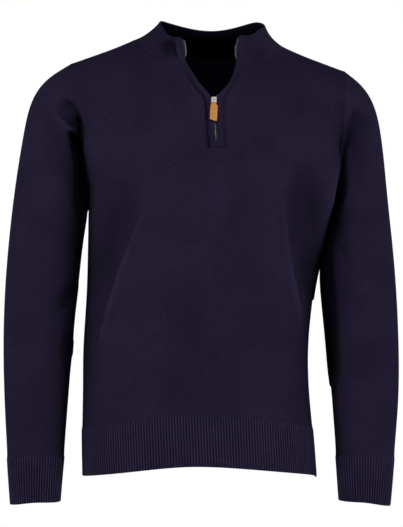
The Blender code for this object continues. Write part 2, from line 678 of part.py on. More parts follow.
def wall(points, faces, normals, thickness, gap=SEAM_GAP / 2, relief=0.0):
    """A closed wall: the surface, the same surface moved inwards, and the rim between them."""
    middle = drawn_in(points, faces, normals, gap)
    count = len(points)
    solid = [list(face) for face in faces]
    solid += [[v + count for v in face[::-1]] for face in faces]
    for a, b in boundary_edges(faces):
        # Pieces that meet cut the twisted strip between them along the same diagonal.
        if key(points[a]) < key(points[b]):
            solid += [[b, a, a + count], [b, a + count, b + count]]
        else:
            solid += [[b, a, b + count], [a, a + count, b + count]]
    return np.vstack([middle + normals * relief, middle - normals * thickness]), solid


def ribbed_wall(grid, normals, closed):
    """A wall whose outer side is raised in upright ribs over a plain inner side. The grid holds
    rows of points, and the ribs lie between its columns."""
    rows, columns = grid.shape[:2]
    width = np.linalg.norm(np.diff(grid[0], axis=0), axis=1)
    counts = np.maximum(1, np.round(width / RIB_PITCH)).astype(int)
    inner = grid - normals * RIB_CLOTH
    fine, at = [], []
    for i, ribs in enumerate(counts):
        at.append(len(fine))
        for k in range(2 * ribs):
            share = k / (2 * ribs)
            base = grid[:, i] * (1 - share) + grid[:, i + 1] * share
            out = normals[:, i] * (1 - share) + normals[:, i + 1] * share
            fine.append(base + unit(out) * RIB_RELIEF * (k % 2))
    at.append(len(fine))
    if not closed:
        fine.append(grid[:, -1])
    fine = np.array(fine)
    points = np.vstack([fine.reshape(-1, 3), np.moveaxis(inner, 0, 1).reshape(-1, 3)])
    total, start = len(fine), len(fine) * rows

    def out(i, j):
        return (i % total) * rows + j

    def back(i, j):
        return start + (i % (columns - 1) if closed else i) * rows + j

    faces = []
    for j in range(rows - 1):
        for i in range(total if closed else total - 1):
            faces.append([out(i, j), out(i + 1, j), out(i + 1, j + 1), out(i, j + 1)])
        for i in range(columns - 1):
            faces.append([back(i + 1, j), back(i, j), back(i, j + 1), back(i + 1, j + 1)])
    for j, turn in ((0, 1), (rows - 1, -1)):
        for i in range(columns - 1):
            half = (at[i] + at[i + 1]) // 2
            strip = [[out(k, j), back(i, j), out(k + 1, j)] for k in range(at[i], half)]
            strip.append([out(half, j), back(i, j), back(i + 1, j)])
            strip += [
                [out(k, j), back(i + 1, j), out(k + 1, j)] for k in range(half, at[i + 1])
            ]
            faces += [face[::turn] for face in strip]
    if not closed:
        last, end = total - 1, columns - 1
        for j in range(rows - 1):
            faces.append([out(0, j), out(0, j + 1), back(0, j + 1), back(0, j)])
            faces.append([out(last, j + 1), out(last, j), back(end, j), back(end, j + 1)])
    return points, faces


# ---------------------------------------------------------------- objects


def material(name, colour, roughness, metallic=0.0):
    made = bpy.data.materials.new(name)
    made.use_nodes = True
    shader = made.node_tree.nodes["Principled BSDF"]
    shader.inputs["Base Color"].default_value = colour
    shader.inputs["Roughness"].default_value = roughness
    shader.inputs["Metallic"].default_value = metallic
    return made


def dress(obj, surface):
    obj.data.materials.clear()
    obj.data.materials.append(surface)
    obj.data.shade_smooth()
    obj.data.set_sharp_from_angle(angle=SHARP)


def add(collection, name, points, faces, surface):
    mesh = bpy.data.meshes.new(name)
    mesh.from_pydata([tuple(point) for point in points], [], faces)
    obj = bpy.data.objects.new(name, mesh)
    collection.objects.link(obj)
    dress(obj, surface)


def make_cloth(collection, knit, tape_surface):
    """Every cut piece of cloth, each a wall inwards from its stretch of the outer surface."""
    left_sleeve, left_cuff = sleeve_grids(-1)
    right_sleeve, right_cuff = sleeve_grids(1)
    plain = {
        "front": body_patches("front"),
        "back": body_patches("back"),
        "sleeve_left": [left_sleeve],
        "sleeve_right": [right_sleeve],
        "collar": [collar_grid()],
    }
    ribbed = {
        "hem_rib_front": hem_grid("front"),
        "hem_rib_back": hem_grid("back"),
        "cuff_left": left_cuff,
        "cuff_right": right_cuff,
    }
    bands = {"left": band_grid(-1), "right": band_grid(1)}
    surfaces = {name: welded(patches) for name, patches in plain.items()}
    surfaces.update({name: welded([grid]) for name, grid in ribbed.items()})
    surfaces.update({"band_" + name: welded([grid]) for name, (grid, _) in bands.items()})
    groups = (
        ("front", "back", "hem_rib_front", "hem_rib_back"),
        ("sleeve_left", "cuff_left"),
        ("sleeve_right", "cuff_right"),
        ("collar",),
        ("band_left", "band_right"),
    )
    normals = shared_normals([[surfaces[name] for name in group] for group in groups])

    def normals_at(points):
        return np.array([normals[key(point)] for point in points.reshape(-1, 3)])

    for name in plain:
        points, faces = surfaces[name]
        thickness = COLLAR_CLOTH if name == "collar" else CLOTH
        shape = wall(points, faces, normals_at(points), thickness)
        add(collection, name, *shape, knit)
    for name, grid in ribbed.items():
        points, faces = surfaces[name]
        inset = drawn_in(points, faces, normals_at(points), SEAM_GAP / 2)
        moved = {key(point): place for point, place in zip(points, inset)}
        inset = np.array([moved[key(point)] for point in grid.reshape(-1, 3)])
        even = normals_at(grid).reshape(grid.shape)
        shape = ribbed_wall(inset.reshape(grid.shape), even, name.startswith("cuff"))
        add(collection, name, *shape, knit)
    for name, (grid, shares) in bands.items():
        points, faces = surfaces["band_" + name]
        across = np.linspace(0, 1, BAND_STEPS + 1)
        bulge = np.tile(BAND_BULGE * 4 * across * (1 - across), len(shares))[:, None]
        even = normals_at(points)
        shape = wall(points, faces, even, BAND_CLOTH, gap=SEAM_GAP, relief=bulge)
        add(collection, "zip_band_" + name, *shape, knit)
        side = -1 if name == "left" else 1
        table = LEFT_EDGE if side < 0 else RIGHT_EDGE
        inside = [1, 2, 3] if side < 0 else [0, 1, 2]
        even = even.reshape(grid.shape)[:, inside]
        behind = grid[:, inside].copy()
        behind[:, -1 if side < 0 else 0] = edge(table, "tape", shares)
        behind = behind - even * (BAND_CLOTH + TAPE_GAP)
        points, faces = welded([behind])
        shape = wall(points, faces, even.reshape(-1, 3), TAPE_CLOTH, gap=SEAM_GAP)
        add(collection, "zip_tape_" + name, *shape, tape_surface)


def zip_frame():
    """The frame of the slider: across, into the garment and up the zip, at the pull's hinge."""
    foot, head = (
        (np.array(LEFT_EDGE[row][1]) + np.array(RIGHT_EDGE[row][1])) / 2 for row in SLIDER_ROWS
    )
    up = unit(head - foot)
    across = unit(np.array([1.0, 0.0, 0.0]) - up[0] * up)
    inward = np.cross(up, across)
    place = head - up * HINGE_BELOW_HEAD - inward * HINGE_OUT
    frame = Matrix(np.stack([across, inward, up], 1).tolist()).to_4x4()
    return Matrix.Translation(place.tolist()) @ frame


def curved(collection, name, points, cyclic):
    """A curve object through the points."""
    curve = bpy.data.curves.new(name, "CURVE")
    line = curve.splines.new("POLY")
    line.points.add(len(points) - 1)
    for place, point in zip(line.points, points):
        place.co = (*point, 1.0)
    line.use_cyclic_u = cyclic
    obj = bpy.data.objects.new(name, curve)
    collection.objects.link(obj)
    return obj


def as_mesh(curve):
    """A mesh object in a curve object's place, with its caps welded on."""
    bpy.context.view_layer.update()
    view = bpy.context.evaluated_depsgraph_get()
    mesh = bpy.data.meshes.new_from_object(curve.evaluated_get(view))
    work = bmesh.new()
    work.from_mesh(mesh)
    bmesh.ops.remove_doubles(work, verts=work.verts, dist=WELD)
    work.to_mesh(mesh)
    work.free()
    name, home, frame = curve.name, curve.users_collection[0], curve.matrix_world.copy()
    bpy.data.objects.remove(curve)
    obj = bpy.data.objects.new(name, mesh)
    obj.matrix_world = frame
    home.objects.link(obj)
    return obj


def plate(collection, name, outline, near, far):
    """A flat plate with an outline in x and z, from near to far along y."""
    obj = curved(collection, name, [(x, z, 0.0) for x, z in outline], cyclic=True)
    obj.data.dimensions = "2D"
    obj.data.fill_mode = "BOTH"
    obj.data.extrude = (far - near) / 2
    obj.rotation_euler = (math.pi / 2, 0, 0)
    obj.location = (0, (near + far) / 2, 0)
    return as_mesh(obj)


def wire(collection, name, points, radius, cyclic):
    """A round wire along points."""
    obj = curved(collection, name, points, cyclic)
    obj.data.dimensions = "3D"
    obj.data.bevel_depth = radius
    obj.data.bevel_resolution = 2
    obj.data.use_fill_caps = not cyclic
    return as_mesh(obj)


def arc(centre, radius, start, end, steps):
    """Points (x, z) of an arc from one angle to another, in degrees."""
    turns = np.radians(np.linspace(start, end, steps))
    return [
        (centre[0] + radius * math.cos(turn), centre[1] + radius * math.sin(turn))
        for turn in turns
    ]


def mirrored(right_half):
    """A closed outline from its right half, given from the top down."""
    return list(right_half) + [(-x, z) for x, z in reversed(right_half)]


def combine(obj, others, operation):
    """Adds or cuts away other solids, which are kept as hidden tools."""
    for other in others:
        other.hide_render = True
        other.display_type = "WIRE"
        step = obj.modifiers.new(operation.lower(), "BOOLEAN")
        step.operation = operation
        step.object = other


def rounded(obj, width):
    bevel = obj.modifiers.new("rounding", "BEVEL")
    bevel.width = width
    bevel.segments = 2
    bevel.limit_method = "ANGLE"
    bevel.angle_limit = SHARP


def make_slider(collection, tools, hinge, metal):
    """The slider: front and back plates, the bridge between them, and the bail on the front."""
    face = HINGE_OUT
    tape_front = face + BAND_CLOTH + TAPE_GAP
    back = tape_front + TAPE_CLOTH + HARD_GAP
    outline = mirrored(SLIDER_OUTLINE)
    slider = plate(collection, "slider", outline, face, tape_front - HARD_GAP)
    rounded(slider, SLIDER_ROUNDING)
    rear = plate(tools, "slider_rear", outline, back, back + BACK_PLATE)
    wide, high = BRIDGE[0] / 2, BRIDGE[1] / 2
    corners = mirrored(((wide, BRIDGE_Z + high), (wide, BRIDGE_Z - high)))
    bridge = plate(tools, "slider_bridge", corners, tape_front - 0.001, back + BACK_PLATE / 2)
    top = -(RING_WIRE + HARD_GAP + BAIL_WIRE)
    path = [(0, y, z) for y, z in arc((0.0, 0.0), 1.0, 90, 270, 9)]
    path = [(0, max(y * -top, top) if y < 0 else y, z * BAIL_HALF) for _, y, z in path]
    path = [(0, face + 0.001, BAIL_HALF), *path, (0, face + 0.001, -BAIL_HALF)]
    bail = wire(tools, "slider_bail", path, BAIL_WIRE, cyclic=False)
    combine(slider, (rear, bridge, bail), "UNION")
    for obj in (slider, rear, bridge, bail):
        obj.parent = hinge
    dress(slider, metal)


def make_pull(collection, tools, hinge, metal, leather):
    """The pull: a wire ring through the bail, and a leather tab folded round its lower bar."""
    inner, corner = RING_HALF - RING_CORNER, RING_CORNER
    half = arc((inner, -corner), corner, 90, 0, 4)
    half += arc((inner, corner - RING_LONG), corner, 0, -90, 4)
    path = [(x, 0.0, z) for x, z in mirrored(half)]
    ring = wire(collection, "pull_ring", path, RING_WIRE, cyclic=True)
    fold = RING_WIRE + HARD_GAP + LEATHER
    left_end, right_end = TAB_END_Z
    top = [(TAB_NECK_HALF, -RING_LONG), (TAB_NECK_HALF, -RING_LONG - fold)]
    top.append((TAB_HALF, TAB_SHOULDER_Z))
    outline = mirrored([*top, (TAB_HALF, right_end)])
    outline[len(top) + 1] = (-TAB_HALF, left_end)
    tab = plate(collection, "pull_tab", outline, -TAB_THICK / 2, TAB_THICK / 2)
    rolls = []
    for name, radius, half_long in (
        ("tab_fold", fold, TAB_NECK_HALF),
        ("tab_bore", RING_WIRE + HARD_GAP, 2 * TAB_NECK_HALF),
    ):
        bpy.ops.mesh.primitive_cylinder_add(
            vertices=24, radius=radius, depth=2 * half_long, location=(0, 0, -RING_LONG)
        )
        roll = bpy.context.object
        roll.name = name
        roll.rotation_euler = (0, math.pi / 2, 0)
        for home in roll.users_collection:
            home.objects.unlink(roll)
        tools.objects.link(roll)
        rolls.append(roll)
    combine(tab, rolls[:1], "UNION")
    combine(tab, rolls[1:], "DIFFERENCE")
    for obj in (ring, tab, *rolls):
        obj.parent = hinge
    dress(ring, metal)
    dress(tab, leather)


def empty_at(collection, name, frame):
    obj = bpy.data.objects.new(name, None)
    obj.matrix_world = frame
    collection.objects.link(obj)
    return obj


def main():
    for obj in list(bpy.data.objects):
        bpy.data.objects.remove(obj)
    sweater = bpy.data.collections.new("quarter_zip_sweater")
    tools = bpy.data.collections.new("cutters")
    for collection in (sweater, tools):
        bpy.context.scene.collection.children.link(collection)
    knit = material("navy_knit", NAVY, 0.9)
    tape = material("navy_tape", NAVY, 0.8)
    metal = material("silver_metal", SILVER, 0.3, metallic=1.0)
    leather = material("tan_leather", TAN, 0.55)
    make_cloth(sweater, knit, tape)
    frame = zip_frame()
    tilt = Matrix.Rotation(math.radians(TAB_TILT), 4, "Y")
    slider_frame = empty_at(sweater, "slider_frame", frame)
    pull_hinge = empty_at(sweater, "pull_hinge", frame @ tilt)
    make_slider(sweater, tools, slider_frame, metal)
    make_pull(sweater, tools, pull_hinge, metal, leather)


main()
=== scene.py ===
"""The looks of the navy quarter zip sweater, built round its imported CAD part.

Metres, +Z up, front towards -Y, +X to the viewer's right, the origin at the middle of the neck.
A side is -1 for the left and 1 for the right.

Each cut piece of cloth is a thin shell with rounded edges on the same surface that its CAD solid
has, cut finer, with its creases, ribs and stitches. The surface's tables and functions repeat
those of the part's source. The zip's slider and ring are the CAD's own, with better materials.
"""

import math
from functools import cached_property

import bpy
import numpy as np
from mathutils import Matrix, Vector


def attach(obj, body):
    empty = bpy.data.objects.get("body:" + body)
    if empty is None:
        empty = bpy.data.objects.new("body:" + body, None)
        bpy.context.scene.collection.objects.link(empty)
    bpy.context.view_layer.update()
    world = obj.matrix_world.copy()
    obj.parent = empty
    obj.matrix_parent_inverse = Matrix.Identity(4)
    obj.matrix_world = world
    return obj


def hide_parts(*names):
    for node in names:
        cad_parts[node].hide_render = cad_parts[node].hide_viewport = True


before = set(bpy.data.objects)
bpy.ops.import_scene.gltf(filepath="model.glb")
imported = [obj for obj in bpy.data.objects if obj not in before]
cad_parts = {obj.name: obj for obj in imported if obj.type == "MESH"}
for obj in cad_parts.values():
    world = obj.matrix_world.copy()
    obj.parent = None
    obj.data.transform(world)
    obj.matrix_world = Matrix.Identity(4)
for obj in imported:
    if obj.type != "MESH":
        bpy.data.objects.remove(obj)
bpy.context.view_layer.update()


def metres(*rows):
    """A table's rows, which are written in tenths of a millimetre."""
    return np.array(rows) / 10000


# ---------------------------------------------------------------- sizes, as in the part's source

CLOTH = 0.0022  # jersey, one layer
RIB_RELIEF = 0.0017
RIB_PITCH = 0.0044
COLLAR_CLOTH = 0.0036
BAND_CLOTH = 0.0026
TAPE_CLOTH = 0.0009
TAPE_GAP = 0.0007
SEAM_GAP = 0.0003

UNDERARM_Z = -0.216
HEM_Z = -0.680
RIB_TOP_Z = -0.602
ARCHES = {"front": 0.0275, "back": 0.015}  # how high the hem's middle rises
HEM_TILT = 0.003
ARCH_FADES_Z = -0.36
ARCH_SHAPES = (1.4, 0.9)
CUFF_ARCH = 0.003
ROUNDNESS = 2.3

# The torso's rings: height, left, right, front, back, side seam. The first is at the underarm,
# and the last two are at the top and the foot of the ribbing.
TORSO = metres(
    (-2160, -1935, 2015, -1400, 1300, 40),
    (-2500, -1948, 1962, -1415, 1290, -20),
    (-2900, -1953, 1882, -1410, 1240, -80),
    (-3450, -1965, 1743, -1370, 1140, -100),
    (-4100, -1990, 1618, -1310, 1040, -80),
    (-4800, -2032, 1560, -1260, 1000, -40),
    (-5450, -2042, 1578, -1240, 1040, 0),
    (-6020, -2050, 1630, -1235, 1090, 0),
    (-6800, -2040, 1690, -1235, 1110, 0),
)

# The lines of the shoulder seams, from the arm to the neck.
SHOULDERS = {
    -1: metres((-2220, 40, -215), (-1800, 60, -64), (-1464, 80, 64), (-1220, 80, 170)),
    1: metres((2140, 40, -340), (1752, 60, -192), (1432, 80, -64), (1190, 80, 45)),
}

# The collar, from the left edge of the opening round the back: seam, top edge, hollow.
COLLAR = metres(
    (-462, -970, -315, -554, -675, 128, 0),
    (-840, -760, -200, -664, -450, 196, 20),
    (-1100, -400, -10, -760, -200, 345, 30),
    (-1220, 80, 170, -805, 80, 478, 30),
    (-1040, 520, 160, -690, 400, 492, 20),
    (-600, 820, 40, -400, 670, 442, 20),
    (0, 920, -40, 15, 790, 398, 20),
    (600, 820, -20, 445, 670, 450, 20),
    (1020, 520, 70, 765, 400, 495, 40),
    (1190, 80, 45, 875, 80, 410, 55),
    (1060, -420, -120, 800, -230, 320, 40),
    (840, -780, -280, 668, -500, 200, 30),
    (493, -965, -373, 547, -675, 160, 0),
)
NECK_SIDES = (3, 9)

# The opening's edges, from the foot of the zip up: the tape's edge, the band's lip, its seam.
EDGE_COLUMNS = ("tape", "lip", "seam")
EDGES = {
    -1: metres(
        (84, -1292, -1640, 63, -1292, -1640, -30, -1292, -1640),
        (68, -1229, -1340, 47, -1229, -1340, -56, -1229, -1330),
        (54, -1178, -1100, 32, -1178, -1100, -64, -1176, -1090),
        (42, -1150, -970, 8, -1150, -970, -82, -1148, -960),
        (12, -1122, -840, -12, -1120, -830, -118, -1124, -845),
        (-116, -1080, -715, -108, -1080, -705, -205, -1098, -735),
        (-285, -1000, -465, -277, -998, -452, -355, -1035, -500),
        (-378, -945, -290, -372, -940, -290, -462, -970, -315),
        (-385, -830, -95, -408, -830, -95, -533, -850, -93),
        (-426, -690, 110, -460, -690, 125, -554, -675, 128),
    ).reshape(-1, 3, 3),
    1: metres(
        (88, -1292, -1640, 109, -1292, -1640, 222, -1292, -1640),
        (72, -1229, -1340, 93, -1229, -1340, 208, -1229, -1330),
        (58, -1178, -1100, 80, -1178, -1100, 194, -1176, -1090),
        (56, -1150, -970, 90, -1150, -970, 198, -1148, -960),
        (84, -1122, -840, 108, -1120, -830, 222, -1124, -845),
        (218, -1080, -715, 209, -1080, -705, 302, -1098, -715),
        (349, -1000, -485, 341, -998, -473, 424, -1030, -505),
        (386, -945, -335, 380, -940, -335, 493, -965, -373),
        (388, -835, -130, 410, -835, -130, 535, -855, -150),
        (408, -690, 125, 436, -690, 150, 547, -675, 160),
    ).reshape(-1, 3, 3),
}
NECKLINE_ROW = 7

# The sleeves' rings: outermost and innermost points as x and z.
SLEEVES = {
    -1: metres(
        (-2220, -215, -1935, -2160),
        (-2610, -398, -1948, -2270),
        (-2865, -715, -1955, -2400),
        (-2985, -1200, -1962, -2560),
        (-3085, -1800, -1990, -2780),
        (-3172, -2450, -2035, -3060),
        (-3245, -3150, -2085, -3500),
        (-3300, -3950, -2145, -4100),
        (-3312, -4800, -2204, -4800),
        (-3285, -5600, -2262, -5600),
        (-3228, -6470, -2322, -6450),
        (-3198, -6870, -2355, -6840),
        (-3168, -7225, -2380, -7180),
    ),
    1: metres(
        (2140, -340, 2015, -2160),
        (2385, -475, 2020, -2290),
        (2600, -755, 2000, -2440),
        (2722, -1200, 1965, -2620),
        (2793, -1800, 1912, -2840),
        (2852, -2450, 1842, -3120),
        (2925, -3150, 1782, -3520),
        (2985, -3950, 1812, -4100),
        (3012, -4800, 1875, -4800),
        (2995, -5600, 1928, -5600),
        (2915, -6470, 1985, -6450),
        (2878, -6875, 2010, -6840),
        (2840, -7245, 2030, -7160),
    ),
}
# Both sleeves' rings from front to back: middle, reach forwards and reach back.
SLEEVE_DEPTHS = metres(
    (40, 620, 700), (70, 660, 700), (120, 670, 680), (150, 660, 650), (140, 630, 620),
    (110, 610, 600), (80, 580, 580), (40, 530, 530), (-40, 470, 470), (-130, 410, 410),
    (-240, 340, 340), (-280, 310, 310), (-320, 280, 280),
)
CUFF_ROW = 10
ARMHOLE_TAPER = 0.35
TAPER_FADES_ROW = 4
SLEEVE_ROUNDNESS = 2.1

# The torso's soft folds: two ends as x and z, bow, half width and height.
FOLDS = {
    "front": metres(
        (-880, -1700, -1980, -5600, 60, 130, 45),
        (-1200, -1750, -2220, -5600, 60, 240, -120),
        (1120, -1800, 1600, -5200, -120, 130, 45),
        (1460, -1500, 1860, -5000, -120, 240, -110),
    ),
    "back": metres(
        (-800, -2000, -1900, -5400, 60, 180, 40),
        (-1180, -2000, -2150, -5400, 60, 240, -80),
        (920, -2000, 1580, -5200, -80, 180, 40),
        (1320, -1900, 1820, -5000, -80, 240, -80),
    ),
}

SHOULDER_STEPS = 6
NECK_STEPS = {"front": 6, "back": 5}
ROW_STEP = 0.016

NECK_S = 0.53
SLOPE_STEP = 0.01  # below the underarm's ring, over which the torso's slope is measured
CLIMB = 0.19
OVER_SHOULDER = 0.13
OVER_NECK = 0.085
BESIDE_NECK_WAY = (0.55, 0.60, 0.55)
NECK_TURNS_BY = 0.45
NECK_WAYS = {"front": (0.05, 0.55, 0.85), "back": (0.0, -0.45, 0.95)}
ARMHOLE_BLEND = 0.45
OPENING_BLEND = 0.72
NECK_MIDDLE = (0.0, 0.010, 0.0)
COLLAR_END_BLEND = 0.12
FOLD_FADES = (0.40, 0.29)
SEAM_FADE = 0.2
FOOT_BULGE = 0.6
MITRE_LIMIT = 0.15
WELD = 0.00001
BAND_BULGE = 0.0008

# ---------------------------------------------------------------- sizes of the scene's own

FINER = 7  # parts that each step of the CAD's grid is cut into
RING_POINTS = {"torso": 1201, "sleeve": 721, "seam": 401}  # on a ring that is measured along
TORSO_ROWS = 140
SLEEVE_ROWS = 170
COLLAR_ROWS = 20
RIB_ROWS = 16
RIB_CUTS = 6  # columns to a rib
RIM_STEPS = 4  # round a shell's edge
RELAXED = 110  # rounds of evening out a surface's points before its creases are put in
PLAIN = ("front", "back", "sleeve_left", "sleeve_right", "collar")  # the pieces that are evened
SEAM_ROUNDING = 0.00012  # how round a piece's edges are along its seams
EDGE_ROUNDING = 0.0012  # and where they are free: the hems, the cuffs, the collar's top, the lips
RIB_FADE = 0.0045  # over which the ribs rise beside a seam
BAND_COLUMNS = (0.0, 0.22, 0.36, 0.50, 0.64, 0.78, 1.0)
TAPE_COLUMNS = (0.0, 0.4, 0.7, 1.0)
TAPE_WIDE = 0.66  # the share of the band's width that the tape lies behind

# How much cloth the UVs give each piece, in metres.
BODY_HALF = 0.27  # from the middle to a side seam
BODY_RISE = 0.215  # from the underarm up to the shoulder
SLEEVE_ROUND = 0.40
SLEEVE_LONG = 0.62
NECK_ROUND = 0.50
COLLAR_HIGH = 0.048
BAND_WIDE = 0.010
TAPE_ACROSS = 0.008
ZIP_LONG = 0.20

TOOTH_PITCH = 0.0021
TOOTH_SIZE = (0.0019, 0.0021, 0.0012)  # across the zip, through it and along it
TOOTH_STARTS = {-1: 0.75, 1: 1.25}  # the first tooth's place above the foot, in pitches
WAY_STEP = 1e-3  # the share of the zip's length over which its direction is measured
# How far the teeth are tucked back behind the bands, by height. Below zero they stand out into
# the opening past the tapes' edges.
TOOTH_TUCKS = {
    -1: metres((-1640, -2), (-1000, -2), (-930, 18), (-800, 34), (-320, 34), (-240, 20),
               (-170, -2), (-40, -4), (120, -4)),
    1: metres((-1640, -10), (-1000, -10), (-900, -8), (-800, 6), (-720, 30), (-320, 30),
              (-240, 16), (-180, -4), (-20, -6), (40, 24)),
}
# How far the bands' lips are shifted to the right beside the closed teeth, by height.
LIP_SHIFTS = {
    -1: metres((-1640, 20), (-1540, 20), (-1490, 13), (-1430, 0)),
    1: metres((-1640, -14), (-1560, -8), (-1480, 11), (-1040, 13), (-940, 0)),
}

# The leather tab, in the pull's frame: half its width and its middle, by height.
PULL_PLACE = (0.00484, -0.11560, -0.08785)
PULL_ACROSS = (0.99803, -0.01316, -0.06139)
PULL_UP = (0.06279, 0.20912, 0.97587)
RING_LONG = 0.0068  # from the hinge down to the ring's lower bar
FOLD_RADIUS = 0.0012  # of the leather's middle, round that bar
KNEE = -RING_LONG - 2.2 * FOLD_RADIUS  # the height where the layers start to part round it
LEATHER = 0.0008
TAB_HALF = metres((-125, 59), (-112, 56), (-88, 41), (-77, 32), (-60, 30))
TAB_MIDDLE = metres((-125, 11), (-85, 2), (-60, 0))
TAB_FOOT = (-0.0337, -0.0361)  # its height at the tab's left and right edge
TAB_CORNER = 0.0010
TAB_LAYERS = 0.0010  # between the middles of its two layers
TAB_ACROSS = 41  # points across it
TAB_ROWS = (30, 7, 11)  # up a layer, up to the bar and round the bar
STITCH_PITCH = 0.0023
STITCH_SIZE = (0.0016, 0.00035, 0.00030)  # along the seam, across it and through it
STITCH_INSET = 0.0012
STITCH_TOP = -0.0128

